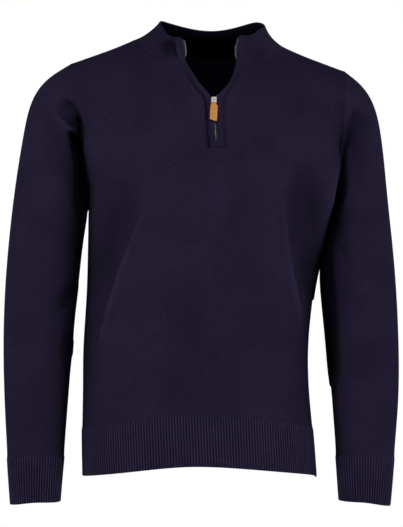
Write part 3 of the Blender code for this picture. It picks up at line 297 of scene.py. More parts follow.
# Creases beyond the folds above. Each row has the pieces that it lies on, its kind, half its width
# to the left and the right as it runs down, its height, the percents of its length over which it
# sets in and runs out, and then x and z of the points that it runs through, all in millimetres.
# "front" and "back" push what faces that way out along its normal, and give a raised ridge a
# painted highlight and a dent painted shade. "crest" does so too, on the front, and draws the
# points beside its line onto it, so that the ridge is crisp. "deep" and "edge" push all that
# doesn't face the back straight back into the garment, or forwards where their height is below
# zero. Their sides are steep where they are narrow and soft where they are wide. They darken
# what they push back with painted shade and lighten what they push forwards with painted light.
CREASES = (
    # The crisp ridges down both sides of the front, and the troughs outside them.
    ("front", "crest", 2, 4, 6.2, 40, 20,
     (-89, -222, -108, -270, -124, -313, -144, -370, -163, -432, -182, -490)),
    ("front back", "deep", 36, 18, 20, 35, 35,
     (-106, -205, -128, -262, -146, -312, -166, -372, -186, -450)),
    ("front", "crest", 4, 2, 6.2, 30, 25, (113, -222, 114, -262, 119, -320, 134, -400, 147, -467)),
    ("front back", "deep", 20, 40, 26, 35, 35,
     (150, -170, 137, -230, 139, -290, 152, -360, 166, -435)),
    # The grooves along the outer seams of the zip's bands, and the edge below its foot.
    ("front zip_band_left", "front", 5, 3, -4.6, 5, 20,
     (-3, -166, -5.6, -133, -6.4, -109, -8.2, -96, -11.8, -84.5,
      -20.5, -73.5, -35.5, -50, -46.2, -31.5)),
    ("front zip_band_right", "front", 3, 4.6, -2.7, 5, 20,
     (22.2, -166, 20.8, -133, 19.4, -109, 19.8, -96, 22.2, -84.5,
      30.2, -71.5, 42.4, -50.5, 49.3, -37.3)),
    ("front", "front", 1.6, 1.6, 0.9, 15, 15, (-3, -167.5, 9.5, -168, 22.5, -167.5)),
    # The dents in the collar's foot beside the bands.
    ("front collar", "deep", 14, 13, 21, 45, 45, (-86, 3, -68, 0, -54, -8, -49, -28)),
    ("front collar", "deep", 13, 14, 8, 45, 45, (58, -4, 70, -12, 88, -20)),
    # Soft unevenness of the chest and the belly.
    ("front", "front", 10, 12, -2.2, 45, 45, (-170, -212, -146, -222, -120, -228)),
    ("front", "front", 6, 8, -0.9, 45, 45, (32, -252, 52, -256, 75, -252)),
    ("front", "front", 12, 14, 1.4, 45, 45, (10, -185, 8, -240, 4, -300)),
    ("front", "front", 12, 14, -1.1, 45, 45, (40, -300, 62, -345, 70, -410)),
    ("front", "front", 12, 16, -1.2, 45, 45, (-80, -420, -20, -436, 50, -428)),
    ("front", "front", 10, 16, 1.2, 45, 45, (-120, -512, -60, -530, 5, -525)),
    # The left armhole: a wedge under a small ridge, a lit fold, and the deep gap below it,
    # beside the torso's edge, which stands forward.
    ("sleeve_left", "front", 4, 4, 3, 40, 40, (-248, -75, -236, -73, -226, -77)),
    ("front sleeve_left", "deep", 18, 9.5, 12, 45, 20,
     (-238, -74, -228, -90, -217, -108, -206, -130)),
    ("front back sleeve_left", "deep", 7, 3.6, 11.5, 65, 15,
     (-216, -94, -209, -108, -203.5, -124, -202.5, -142, -202.5, -162)),
    ("sleeve_left", "front", 5, 4, 7.5, 35, 25, (-248, -102, -237, -115, -226, -124, -214, -136)),
    ("front back sleeve_left", "deep", 8, 7, 32, 20, 30,
     (-226.5, -126, -214, -146, -207, -178, -205.5, -225, -205.5, -262, -208, -290)),
    ("front back sleeve_left", "deep", 4.5, 30, -8, 25, 35,
     (-206, -128, -197.5, -160, -193.5, -205, -192, -250)),
    ("sleeve_left", "front", 6, 8, -3.2, 40, 35, (-262, -95, -250, -134, -234, -160)),
    # The right armhole: the torso's edge stands forward, the sleeve falls back beside it, and a
    # gap opens below.
    ("front back sleeve_right", "deep", 24, 5.5, -22, 30, 50,
     (207, -156, 202, -182, 196, -210, 189, -250, 180, -295, 173.5, -335)),
    ("front back sleeve_right", "deep", 18, 19, -26, 45, 30,
     (220, -140, 213, -178, 206, -215, 200, -250, 193, -285)),
    ("front back sleeve_right", "edge", 3.5, 21, 6.2, 8, 20,
     (229, -92, 217.5, -133, 209, -174, 202.5, -212, 195.5, -252, 187, -290)),
    ("front back sleeve_right", "deep", 3, 4.5, 8, 60, 15,
     (198.5, -222, 193.5, -246, 187, -280, 180.5, -315)),
    ("front", "front", 6, 6, -2.6, 45, 45, (208, -82, 205, -96, 202, -112)),
    ("sleeve_right", "deep", 30, 12.2, 32, 10, 25,
     (176, -318, 180, -367, 185, -430, 188, -478, 191, -525, 194, -560)),
    # The backs of the sleeves' inner sides close the gaps beside the torso.
    ("sleeve_left", "back", 12, 12, 12, 25, 40, (-193, -205, -197, -240, -200, -262)),
    ("sleeve_right", "back", 12, 12, 14, 20, 12, (199, -205, 190, -280, 180, -342)),
    # The bends of the sleeves.
    ("sleeve_left", "deep", 13, 15, 12, 20, 55, (-206, -368, -223, -395, -250, -430)),
    ("sleeve_left", "deep", 13, 26, 11, 35, 45, (-215.5, -440, -218.5, -470, -222, -520)),
    ("sleeve_left", "front", 14, 18, -1.5, 45, 45, (-300, -300, -285, -345, -262, -385)),
    ("sleeve_right", "front", 6, 9, -2.2, 25, 45, (198, -300, 210, -330, 217, -366)),
    ("sleeve_right", "front", 14, 18, -1.3, 45, 45, (272, -320, 262, -380, 240, -430)),
    # The slack above the cuffs.
    ("sleeve_left", "front", 7, 9, 1.3, 40, 40, (-318, -600, -290, -612, -262, -606)),
    ("sleeve_left", "front", 6, 9, -1.2, 40, 40, (-285, -578, -255, -588, -232, -582)),
    ("sleeve_right", "front", 7, 9, 1.2, 40, 40, (202, -600, 230, -613, 262, -604)),
    ("sleeve_right", "front", 6, 9, -1, 40, 40, (235, -575, 262, -584, 290, -578)),
    # The hidden sides: the back's drape from the armholes, the small of the back, the elbows.
    ("back", "back", 6, 10, 1.8, 35, 35, (-95, -235, -122, -300, -146, -368, -166, -440)),
    ("back", "back", 10, 6, 1.7, 35, 35, (98, -245, 118, -320, 132, -400, 142, -455)),
    ("back", "back", 12, 18, -2.8, 40, 40, (-128, -395, -60, -425, 20, -418, 85, -440)),
    ("back", "back", 10, 16, -2, 40, 40, (-80, -470, -10, -492, 78, -478)),
    ("back", "back", 10, 14, 1.4, 45, 45, (-110, -538, -45, -552, 12, -545)),
    ("back", "back", 12, 16, -1.4, 45, 45, (-30, -120, -60, -175, -82, -230)),
    ("back", "back", 12, 16, -1.3, 45, 45, (34, -112, 58, -160, 84, -205)),
    ("back sleeve_left", "back", 10, 10, -3.6, 40, 35, (-228, -80, -208, -125, -198, -180)),
    ("back sleeve_right", "back", 10, 10, -3.6, 40, 35, (222, -85, 208, -130, 202, -185)),
    ("sleeve_left", "back", 10, 13, -2.4, 35, 45, (-228, -300, -262, -330, -298, -338)),
    ("sleeve_left", "back", 9, 13, -3, 35, 45, (-222, -362, -255, -392, -305, -398)),
    ("sleeve_left", "back", 9, 12, 1.8, 40, 45, (-236, -440, -268, -462, -300, -455)),
    ("sleeve_right", "back", 10, 13, -2.6, 35, 45, (206, -312, 236, -340, 268, -352)),
    ("sleeve_right", "back", 9, 13, -3, 35, 45, (198, -385, 232, -410, 276, -404)),
    ("sleeve_right", "back", 9, 12, 1.7, 40, 45, (210, -455, 240, -478, 275, -470)),
    ("sleeve_left", "back", 7, 9, 1.2, 40, 40, (-310, -595, -282, -608, -250, -600)),
    ("sleeve_right", "back", 7, 9, 1.2, 40, 40, (210, -590, 240, -604, 275, -598)),
)
CREASE_CUTS = 40  # straight parts that a crease's line is measured along
CREASE_NEAR = 0.06  # how far from its line's box a crease is looked for
CREST_REACH = 0.0013  # points this near a crest move onto it
CREASE_WRAPS = 0.30  # how far round a surface turns while a crease on one side of it fades
DEEP_TIPS = 0.35  # how wide a deep crease is at its ends, as a share of its middle
DEEP_SOFT = 0.0125  # the half width from which its side is soft
DEEP_POWERS = (5, 2)  # the exponents of a steep and of a soft side
RIDGE_PAINTED_LIGHT = 45.0  # how much lighter painted light makes a ridge for each metre of its height, and a dent darker
# How much darker painted shade makes a steep and a soft side for each metre of depth, by the kind
# of crease.
DEEP_PAINTED_SHADES = {"deep": (15.0, 9.5), "edge": (60.0, 60.0)}
TONE_LEAST = 0.40


# ---------------------------------------------------------------- small mathematics


def spline(knots, values, at):
    """A natural cubic spline through values at knots, read at each entry of at."""
    knots, values, at = (np.asarray(a, float) for a in (knots, values, at))
    if knots[0] > knots[-1]:
        knots, values = knots[::-1], values[::-1]
    count, step = len(knots), np.diff(knots)
    system, right = np.eye(count), np.zeros(values.shape)
    for i in range(1, count - 1):
        system[i, i - 1 : i + 2] = step[i - 1], 2 * (step[i - 1] + step[i]), step[i]
        after = (values[i + 1] - values[i]) / step[i]
        right[i] = 6 * (after - (values[i] - values[i - 1]) / step[i - 1])
    bend = np.linalg.solve(system, right)
    i = np.clip(np.searchsorted(knots, at, side="right") - 1, 0, count - 2)
    extra = (1,) * (values.ndim - 1)
    long = step[i].reshape(at.shape + extra)
    before = ((knots[i + 1] - at) / step[i]).reshape(at.shape + extra)
    past = 1 - before
    cubic = (before**3 - before) * bend[i] + (past**3 - past) * bend[i + 1]
    return before * values[i] + past * values[i + 1] + cubic * long**2 / 6


def lengths(points):
    """The share of a broken line's length at which each of its points lies."""
    steps = np.linalg.norm(np.diff(np.asarray(points, float), axis=0), axis=1)
    return np.concatenate([[0.0], np.cumsum(steps)]) / steps.sum()


def along(points, at):
    """A smooth curve through the points, read at shares 0 to 1 of its length."""
    return spline(lengths(points), points, at)


def smooth(value):
    """0 below 0, 1 above 1, and an even S between."""
    value = np.clip(value, 0.0, 1.0)
    return value * value * (3 - 2 * value)


def unit(vectors):
    return vectors / np.maximum(np.linalg.norm(vectors, axis=-1, keepdims=True), 1e-12)


def together(*values):
    return np.broadcast_arrays(*(np.asarray(value, float) for value in values))


def hermite(start, start_way, end, end_way, at):
    """A cubic from start to end that leaves and arrives along the two ways."""
    at = np.asarray(at)[..., None]
    return (
        (2 * at**3 - 3 * at**2 + 1) * start
        + (at**3 - 2 * at**2 + at) * start_way
        + (3 * at**2 - 2 * at**3) * end
        + (at**3 - at**2) * end_way
    )


def finer(values, parts=FINER):
    """The values, with each step between two of them cut into equal parts."""
    values = np.asarray(values, float)
    inside = np.linspace(values[:-1], values[1:], parts + 1)[:-1]
    return np.append(inside.T.ravel(), values[-1])


# ---------------------------------------------------------------- the outer surface


def fold_height(face, x, z):
    """How far the torso's soft folds push the cloth out at a place."""
    total = np.zeros(np.broadcast(x, z).shape)
    for *ends, bow, width, height in FOLDS[face]:
        way = np.subtract(ends[2:], ends[:2])
        long = math.hypot(*way)
        right, up = x - ends[0], z - ends[1]
        inside = np.clip((right * way[0] + up * way[1]) / long**2, 0.0, 1.0)
        across = (right * -way[1] + up * way[0]) / long
        across = across - bow * 4 * inside * (1 - inside)
        fades = smooth(inside / FOLD_FADES[0]) * smooth((1 - inside) / FOLD_FADES[1])
        total = total + height * np.exp(-((across / width) ** 2)) * fades
    return total


def torso(face, s, height):
    """A point of the torso below the arms. s runs from -1 at the left side seam to 1."""
    s, height = together(s, height)
    left, right, front, back, side = (spline(TORSO[:, 0], part, height) for part in TORSO.T[1:])
    facing = -1.0 if face == "front" else 1.0
    reach = np.abs((front if face == "front" else back) - side)
    middle, half = (left + right) / 2, (right - left) / 2
    across, out = np.sin(s * math.pi / 2), np.cos(s * math.pi / 2)
    round_it = (np.abs(across) / half) ** ROUNDNESS + (out / reach) ** ROUNDNESS
    radius = round_it ** (-1 / ROUNDNESS)
    x, y = middle + radius * across, side + facing * radius * out
    arch = ARCHES[face] * np.maximum(out, 0) ** np.where(s < 0, *ARCH_SHAPES)
    share = smooth((ARCH_FADES_Z - height) / (ARCH_FADES_Z - RIB_TOP_Z))
    z = height + (arch - HEM_TILT * (1 + s) / 2) * share
    aside = np.sign(across) * np.abs(across / half) ** (ROUNDNESS - 1) / half
    ahead = facing * (out / reach) ** (ROUNDNESS - 1) / reach
    normal = unit(np.stack([aside, ahead, np.zeros_like(x)], -1))
    push = fold_height(face, x, z) * smooth((1 - np.abs(s)) / SEAM_FADE)
    return np.stack([x, y, z], -1) + normal * push[..., None]


def ring_share(side, row):
    """How far along a sleeve a row of its table lies, 0 to 1, measured on its middle line."""
    return lengths((SLEEVES[side][:, :2] + SLEEVES[side][:, 2:]) / 2)[row]


def sleeve(side, turn, share):
    """A point of a sleeve: turn in degrees is 0 at the inside, 90 at the front, 180 outside."""
    turn, share = together(np.radians(turn), share)
    knots, rings = ring_share(side, slice(None)), SLEEVES[side]
    outer, inner = (spline(knots, part, share) for part in (rings[:, :2], rings[:, 2:]))
    middle, forward, behind = (spline(knots, part, share) for part in SLEEVE_DEPTHS.T)
    inward, ahead = np.cos(turn), np.sin(turn)
    half = np.linalg.norm(inner - outer, axis=-1) / 2
    deep = np.where(ahead >= 0, forward, behind)
    taper = ARMHOLE_TAPER * smooth(1 - share / knots[TAPER_FADES_ROW])
    deep = deep * (1 - taper * (1 + inward) / 2)
    n = SLEEVE_ROUNDNESS
    radius = ((np.abs(inward) / half) ** n + (np.abs(ahead) / deep) ** n) ** (-1 / n)
    step = (radius * inward / half)[..., None] * (inner - outer) / 2
    x, z = np.moveaxis((inner + outer) / 2 + step, -1, 0)
    start = knots[CUFF_ROW - 1]
    arch = CUFF_ARCH * np.maximum(ahead, 0) ** 2 * smooth((share - start) / (1 - start))
    return np.stack([x, middle - radius * ahead, z + arch], -1)


def neck_share(row):
    """How far round the neckline a row of the COLLAR table lies, 0 to 1."""
    return lengths(COLLAR[:, :3])[row]


def seam_column(side):
    """Which column s of the front the band's seam runs down into."""
    columns = np.linspace(-1, 1, RING_POINTS["seam"])
    ring = torso("front", columns, UNDERARM_Z)
    return float(np.interp(EDGES[side][0, 2, 0], ring[:, 0], columns))


def seam_line(side):
    """The band's seam, from the ring under the arms up to the top of the collar."""
    return np.vstack([torso("front", seam_column(side), UNDERARM_Z), EDGES[side][:, 2]])


def edge_share(row):
    """How far up the opening's edge a row of its tables lies: 0 is the ring under the arms."""
    return lengths(seam_line(-1))[row + 1]


def edge(side, name, share):
    """A point of one of the lines of the opening's edge."""
    knots = lengths(seam_line(-1))
    if name == "seam":
        return spline(knots, seam_line(side), share)
    return spline(knots[1:], EDGES[side][:, EDGE_COLUMNS.index(name)], share)


def collar(round_neck, up):
    """A point of the collar: round the neck from the left edge to the right, and up."""
    round_neck, up = together(round_neck, up)
    knots, share = neck_share(slice(None)), up[..., None]

    def plain(place):
        seam, top, hollow = (spline(knots, part, place) for part in np.split(COLLAR, (3, 6), 1))
        points = seam * (1 - share) + top * share
        inward = unit((np.array(NECK_MIDDLE) - points) * (1, 1, 0))
        return points + inward * hollow * 4 * share * (1 - share)

    points = plain(round_neck)
    foot = edge_share(NECKLINE_ROW)
    for side, end in ((-1, 0.0), (1, 1.0)):
        wanted = edge(side, "seam", foot + (1 - foot) * up)
        near = smooth(1 - np.abs(round_neck - end) / COLLAR_END_BLEND)[..., None]
        points = points + near * (wanted - plain(np.full_like(round_neck, end)))
    return points


def inmost(face, side):
    """The column where a half of a face begins: its middle, or the seam of the zip's band."""
    return seam_column(side) * side if face == "front" else 0.0


def neck_place(face, side, columns):
    """Where on the neckline, 0 to 1 round it, the columns of a face end."""
    near, far = NECK_SIDES
    beside, end = (neck_share(near), 0.0) if side < 0 else (neck_share(far), 1.0)
    if face == "back":
        end = neck_share((near + far) // 2)
    share = np.clip((NECK_S - columns) / (NECK_S - inmost(face, side)), 0, 1)
    return beside + (end - beside) * share


def column_ends(face, side, columns):
    """The end of each column at the shoulder seam or the neckline, and the way it arrives there."""
    on_shoulder = np.clip((1 - columns) / (1 - NECK_S), 0, 1)
    on_neck = np.clip((NECK_S - columns) / (NECK_S - inmost(face, side)), 0, 1)[..., None]
    place = np.where(
        (columns < NECK_S)[..., None],
        collar(neck_place(face, side, columns), 0.0),
        along(SHOULDERS[side], on_shoulder),
    )
    over = np.array([0.0, 1.0 if face == "front" else -1.0, 0.0])
    swing = smooth(on_neck / NECK_TURNS_BY)
    beside = np.multiply(BESIDE_NECK_WAY, (-side, over[1], 1))
    arrive = over * (1 - swing) + beside * swing
    arrive = arrive * (1 - on_neck) + np.multiply(NECK_WAYS[face], (-side, 1, 1)) * on_neck
    return place, unit(arrive) * (OVER_SHOULDER + (OVER_NECK - OVER_SHOULDER) * on_neck)


def upper(face, side, s, t):
    """A point above the underarm. s is the column, 0 at the middle and 1 at the side, and t runs
    from 0 at the underarm's ring to 1 at the shoulder seam or the neckline."""
    s, t = together(s, t)

    def plain(columns, up):
        start = torso(face, side * columns, UNDERARM_Z)
        below = torso(face, side * columns, UNDERARM_Z - SLOPE_STEP)
        end, end_way = column_ends(face, side, columns)
        return hermite(start, (start - below) / SLOPE_STEP * CLIMB, end, end_way, up)

    points = plain(s, t)
    turn = 180 * t if face == "front" else 360 - 180 * t
    armhole = sleeve(side, turn, np.zeros_like(t))
    pull = smooth((s - ARMHOLE_BLEND) / (1 - ARMHOLE_BLEND))[..., None]
    points = points + pull * (armhole - plain(np.ones_like(t), t))
    if face == "front":
        first = inmost(face, side)
        opened = edge(side, "seam", t * edge_share(NECKLINE_ROW))
        push = smooth((OPENING_BLEND - s) / (OPENING_BLEND - first))[..., None]
        points = points + push * (opened - plain(np.full_like(t, first), t))
    return points


# ---------------------------------------------------------------- grids: points and their UVs


def rows_up():
    """The shares t of the CAD's rows above the underarm."""
    knots = lengths(seam_line(-1))[: NECKLINE_ROW + 2]
    long = np.linalg.norm(np.diff(seam_line(-1), axis=0), axis=1)
    rows = [0.0]
    for start, end, reach in zip(knots[:-1], knots[1:], long):
        count = math.ceil(reach / ROW_STEP)
        rows += list(start + (end - start) * (np.arange(count) + 1) / count)
    return np.array(rows) / knots[-1]


def foot_row(rows):
    """Which of the rows above the underarm lies at the foot of the zip."""
    return int(np.argmin(np.abs(rows - edge_share(0) / edge_share(NECKLINE_ROW))))


def face_columns(face, side):
    """A face's columns on one side, from its middle or from the opening outwards."""
    inner = np.linspace(inmost(face, side), NECK_S, NECK_STEPS[face] + 1)
    return np.concatenate([inner, np.linspace(NECK_S, 1, SHOULDER_STEPS + 1)[1:]])


def mapped(grid, across, up):
    """A grid of points with its UVs in metres, from a share of each row and each row's place."""
    return grid, np.stack(np.broadcast_arrays(across, up), -1)


def turned(patch):
    """The patch with its columns the other way round, as a face to the back needs them."""
    return tuple(part[:, ::-1] for part in patch)


def under_zip(across, start, ups, rows, halves):
    """The patch of the front below the foot of the zip, up from the points of its lowest row."""
    foot = foot_row(rows)
    left, right = halves[0][0][: foot + 1, -1], halves[1][0][: foot + 1, 0]
    share = np.linspace(0, 1, len(start))[:, None]
    grid = left[:, None] * (1 - share) + right[:, None] * share
    grid = grid + (start - grid[0]) * np.linspace(1, FOOT_BULGE, foot + 1)[:, None, None]
    return mapped(grid, across, ups[: foot + 1])


def body_patches(face):
    """The front or back as grids that share their edges."""
    heights = np.linspace(RIB_TOP_Z, UNDERARM_Z, TORSO_ROWS + 1)[:, None]
    rows = finer(rows_up())
    ups = UNDERARM_Z + BODY_RISE * rows[:, None]
    halves, sides = [], {}
    for side in (-1, 1):
        sides[side] = finer(face_columns(face, side))
        columns = side * sides[side][::side]
        grid = upper(face, side, side * columns[None], rows[:, None])
        halves.append(mapped(grid, columns * BODY_HALF, ups))
    left, right = -sides[-1][::-1], sides[1]
    if face == "back":
        columns = np.concatenate([left[:-1], right])
        below = torso(face, columns[None], heights)
        return [turned(patch) for patch in (mapped(below, columns * BODY_HALF, heights), *halves)]
    middle = finer([left[-1], right[0]], 2 * FINER)[1:-1]
    columns = np.concatenate([left, middle, right])
    below = torso(face, columns[None], heights)
    own = slice(len(left) - 1, len(left) + len(middle) + 1)
    patch = under_zip(columns[own] * BODY_HALF, below[-1, own], ups, rows, halves)
    return [mapped(below, columns * BODY_HALF, heights), *halves, patch]


def sleeve_patch(side):
    """A sleeve, in rows from the wrist upwards."""
    half = 180 * finer(rows_up())
    turns = np.concatenate([half, 360 - half[-2::-1]])[::side]
    rows = np.linspace(ring_share(side, CUFF_ROW), 0, SLEEVE_ROWS + 1)[:, None]
    return mapped(sleeve(side, turns[None], rows), turns / 360 * SLEEVE_ROUND, -rows * SLEEVE_LONG)


def collar_patch():
    """The collar, in rows upwards, with a column for each of the body's at the neckline."""
    places = []
    for face, side in (("front", -1), ("back", -1), ("back", 1), ("front", 1)):
        columns = finer(face_columns(face, side))
        places += list(neck_place(face, side, columns[columns < NECK_S + 1e-9]))
    places = np.unique(np.round(places, 9))[::-1]
    up = np.linspace(0, 1, COLLAR_ROWS + 1)[:, None]
    return mapped(collar(places[None], up), -places * NECK_ROUND, up * COLLAR_HIGH)


def band_shares():
    """The rows of the bands and tapes, from the foot of the zip to the top of the collar."""
    rows = finer(rows_up())
    neck = edge_share(NECKLINE_ROW)
    return np.append(rows[foot_row(rows) :] * neck, np.linspace(neck, 1, COLLAR_ROWS + 1)[1:])


def strip_patch(side, columns, first, last, wide):
    """A strip along the opening between two lines of points."""
    across = np.array(columns)[::-side]
    grid = first[:, None] * (1 - across[:, None]) + last[:, None] * across[:, None]
    return mapped(grid, across * wide, band_shares()[:, None] * ZIP_LONG)


# ---------------------------------------------------------------- from grids to shells


class Surface:
    """Grids welded into one surface: points, faces of four corners, and each corner's UV."""

    def __init__(self, patches, relief=None, free=None):
        points = np.vstack([grid.reshape(-1, 3) for grid, _ in patches])
        uvs = np.vstack([uv.reshape(-1, 2) for _, uv in patches])
        _, first, number = np.unique(keys(points), axis=0, return_index=True, return_inverse=True)
        number, start, corners = number.ravel(), 0, []
        for grid, _ in patches:
            rows, columns = grid.shape[:2]
            own = np.arange(start, start + rows * columns).reshape(rows, columns)
            ring = (own[:-1, :-1], own[:-1, 1:], own[1:, 1:], own[1:, :-1])
            corners.append(np.stack(ring, -1).reshape(-1, 4))
            start += rows * columns
        corners = np.vstack(corners)
        self.points, self.faces, self.uvs = points[first], number[corners], uvs[corners]
        self.relief = np.zeros(len(first)) if relief is None else relief.reshape(-1)[first]
        self.free = np.zeros(len(first), bool) if free is None else free.reshape(-1)[first]
        # each point's painted light and shade, which the creases set
        self.tone = np.ones(len(first))

    def face_normals(self):
        """Each face's normal, as long as twice its area."""
        a, b, c, d = (self.points[self.faces[:, k]] for k in range(4))
        return np.cross(c - a, d - b)


def keys(points):
    return np.round(points / WELD).astype(np.int64)


def shared_normals(surfaces, groups):
    """The outward normal at each surface's points, halfway between the groups that meet there."""
    names = [name for group in groups for name in group]
    everything = np.vstack([keys(surfaces[name].points) for name in names])
    _, number = np.unique(everything, axis=0, return_inverse=True)
    ends = np.cumsum([len(surfaces[name].points) for name in names])
    place = dict(zip(names, np.split(number.ravel(), ends[:-1])))
    total = np.zeros((number.max() + 1, 3))
    for group in groups:
        own = np.zeros_like(total)
        for name in group:
            normals = surfaces[name].face_normals()
            for k in range(4):
                np.add.at(own, place[name][surfaces[name].faces[:, k]], normals)
        total += unit(own)
    total = unit(total)
    return {name: total[place[name]] for name in names}


def border(faces):
    """The edges that only one face has, in that face's direction, as numbers into its corners."""
    ends = np.stack([faces, np.roll(faces, -1, axis=1)], -1).reshape(-1, 2)
    scale = faces.max() + 1
    once = ~np.isin(ends[:, 0] * scale + ends[:, 1], ends[:, 1] * scale + ends[:, 0])
    return ends[once], np.flatnonzero(once)


def relaxed(surface, rounds):
    """The surface's points, evened out between their neighbours; those on its edge stay."""
    points, faces = surface.points, surface.faces
    ends = np.stack([faces, np.roll(faces, -1, axis=1)], -1).reshape(-1, 2)
    ends = np.vstack([ends, ends[:, ::-1]])
    count = np.bincount(ends[:, 0], minlength=len(points))[:, None]
    held = np.zeros((len(points), 1), bool)
    held[np.unique(border(faces)[0])] = True
    for _ in range(rounds):
        moved = [np.bincount(ends[:, 0], points[ends[:, 1], k], len(points)) for k in range(3)]
        points = np.where(held, points, (points + np.stack(moved, 1) / count) / 2)
    return points


def shell(surface, normals, thickness, gap=0.0, rounding=EDGE_ROUNDING):
    """A closed thin shell inwards from a surface, with round edges: points, faces and UVs, and
    which of the surface's points each of its own comes from."""
    points, faces, uvs = surface.points, surface.faces, surface.uvs
    ends, corner = border(faces)
    ways, met = np.zeros_like(points), np.zeros((len(points), 1))
    counts = surface.free[ends].all(1)
    for v in (ends[:, 0], ends[:, 1]):
        own = (counts | ~surface.free[v]).astype(float)[:, None]
        way = unit(np.cross(normals[v], points[ends[:, 1]] - points[ends[:, 0]]))
        np.add.at(ways, v, way * own)
        np.add.at(met, v, own)
    ways = ways / np.maximum(met, 1)
    long = np.maximum((ways**2).sum(1, keepdims=True), MITRE_LIMIT)
    round_by = np.where(surface.free, rounding, SEAM_ROUNDING)[:, None]
    middle = points + ways / long * (round_by + gap)
    outer = middle + normals * surface.relief[:, None]
    inner = middle - normals * thickness
    count, rim = len(points), np.unique(ends)
    slot = np.zeros(count, int)
    slot[rim] = np.arange(len(rim))
    centre, half = (outer + inner)[rim] / 2, (outer - inner)[rim] / 2
    away = -unit(ways[rim]) * round_by[rim]
    everything, rings = [outer, inner], [ends]
    for k in range(1, RIM_STEPS):
        turn = math.pi * k / RIM_STEPS
        everything.append(centre + half * math.cos(turn) + away * math.sin(turn))
        rings.append(2 * count + (k - 1) * len(rim) + slot[ends])
    rings.append(ends + count)
    around = [np.stack([p[:, 1], p[:, 0], q[:, 0], q[:, 1]], -1) for p, q in zip(rings, rings[1:])]
    flat = uvs.reshape(-1, 2)
    following = corner // 4 * 4 + (corner + 1) % 4
    edge_uv = np.stack([flat[following], flat[corner], flat[corner], flat[following]], 1)
    solid = np.vstack([faces, faces[:, ::-1] + count, *around])
    solid_uv = np.vstack([uvs, uvs[:, ::-1], *[edge_uv] * RIM_STEPS])
    source = np.concatenate([np.arange(count), np.arange(count), *[rim] * (RIM_STEPS - 1)])
    return np.vstack(everything), solid, solid_uv, source


def nearest(path, places):
    """Where on a broken line the places are nearest: the share of its parts, how far away it is,
    the way from it, and whether they lie to the left of a line that runs down."""
    share, across = np.zeros(len(places)), np.zeros(len(places))
    best, aside = np.full(len(places), np.inf), np.zeros_like(places)
    for k, (start, step) in enumerate(zip(path, np.diff(path, axis=0))):
        along_it = np.clip((places - start) @ step / (step @ step), 0, 1)
        off = places - start - along_it[:, None] * step
        distance = np.linalg.norm(off, axis=1)
        closer = distance < best
        best, aside[closer] = np.where(closer, distance, best), off[closer]
        share = np.where(closer, (k + along_it) / CREASE_CUTS, share)
        across = np.where(closer, step[0] * off[:, 1] - step[1] * off[:, 0], across)
    return share, best, aside, across <= 0


def crease_push(name, places, normals):
    """How far the creases push a piece's points, and how much painted light and shade they put on
    the cloth.
    """
    total, tone = np.zeros_like(places), np.ones(len(places))
    flat = places[:, (0, 2)]
    for pieces, kind, *sizes, line in CREASES:
        if name not in pieces.split():
            continue
        (*widths, height), fades = np.array(sizes[:3]) / 1000, np.array(sizes[3:]) / 100
        points = np.array(line).reshape(-1, 2) / 1000
        path = along(points, np.linspace(0, 1, CREASE_CUTS + 1))
        low, high = path.min(0) - CREASE_NEAR, path.max(0) + CREASE_NEAR
        near = np.all((flat > low) & (flat < high), axis=1)
        share, best, aside, on_left = nearest(path, flat[near])
        width, out = np.where(on_left, *widths), normals[near]
        ends = smooth(share / fades[0]) * smooth((1 - share) / fades[1])
        if kind in DEEP_PAINTED_SHADES:
            width = width * (DEEP_TIPS + (1 - DEEP_TIPS) * ends)
            ends = ends * smooth(1 - out[:, 1] / CREASE_WRAPS)
            soft = np.where(on_left, *(side > DEEP_SOFT for side in widths))
            power, dark = (np.where(soft, b, a) for a, b in (DEEP_POWERS, DEEP_PAINTED_SHADES[kind]))
            push = height * np.exp(-((best / width) ** power)) * ends
            total[near, 1] += push
            # painted shade where the crease sinks the cloth, painted light where it pushes it
            # forwards
            tone[near] -= push * dark
            continue
        facing = out[:, 1] * (1 if kind == "back" else -1)
        if kind == "crest":
            on_it = (best < CREST_REACH) & (facing > CREASE_WRAPS) & (ends > 0)
            shift = np.insert(-aside * on_it[:, None], 1, 0.0, axis=1)
            total[near] += shift - out * (shift * out).sum(1, keepdims=True)
            best = np.where(on_it, 0.0, best)
        push = height * np.exp(-((best / width) ** 2)) * ends * smooth(facing / CREASE_WRAPS)
        total[near] += out * push[:, None]
        # painted highlight on a raised ridge, painted shade in a dent
        tone[near] += push * RIDGE_PAINTED_LIGHT
    return total, np.maximum(tone, TONE_LEAST)


# ---------------------------------------------------------------- objects

SIDES = {-1: "left", 1: "right"}
# The slot, the look and the thickness of the pieces whose names start with these words.
CLOTHS = {
    "hem": ("navy_rib", "navy_rib", CLOTH),
    "cuff": ("navy_rib", "navy_rib", CLOTH),
    "collar": ("navy_rib", "navy_edge", COLLAR_CLOTH),
    "zip": ("navy_rib", "navy_edge", BAND_CLOTH),
}
TOOTH_RINGS = (  # along the tooth: the place, the width and the height
    (-0.5, 0.55, 0.70), (-0.44, 0.80, 0.95), (0.10, 0.80, 0.95),
    (0.26, 1.00, 1.00), (0.42, 1.00, 0.96), (0.50, 0.70, 0.72),
)


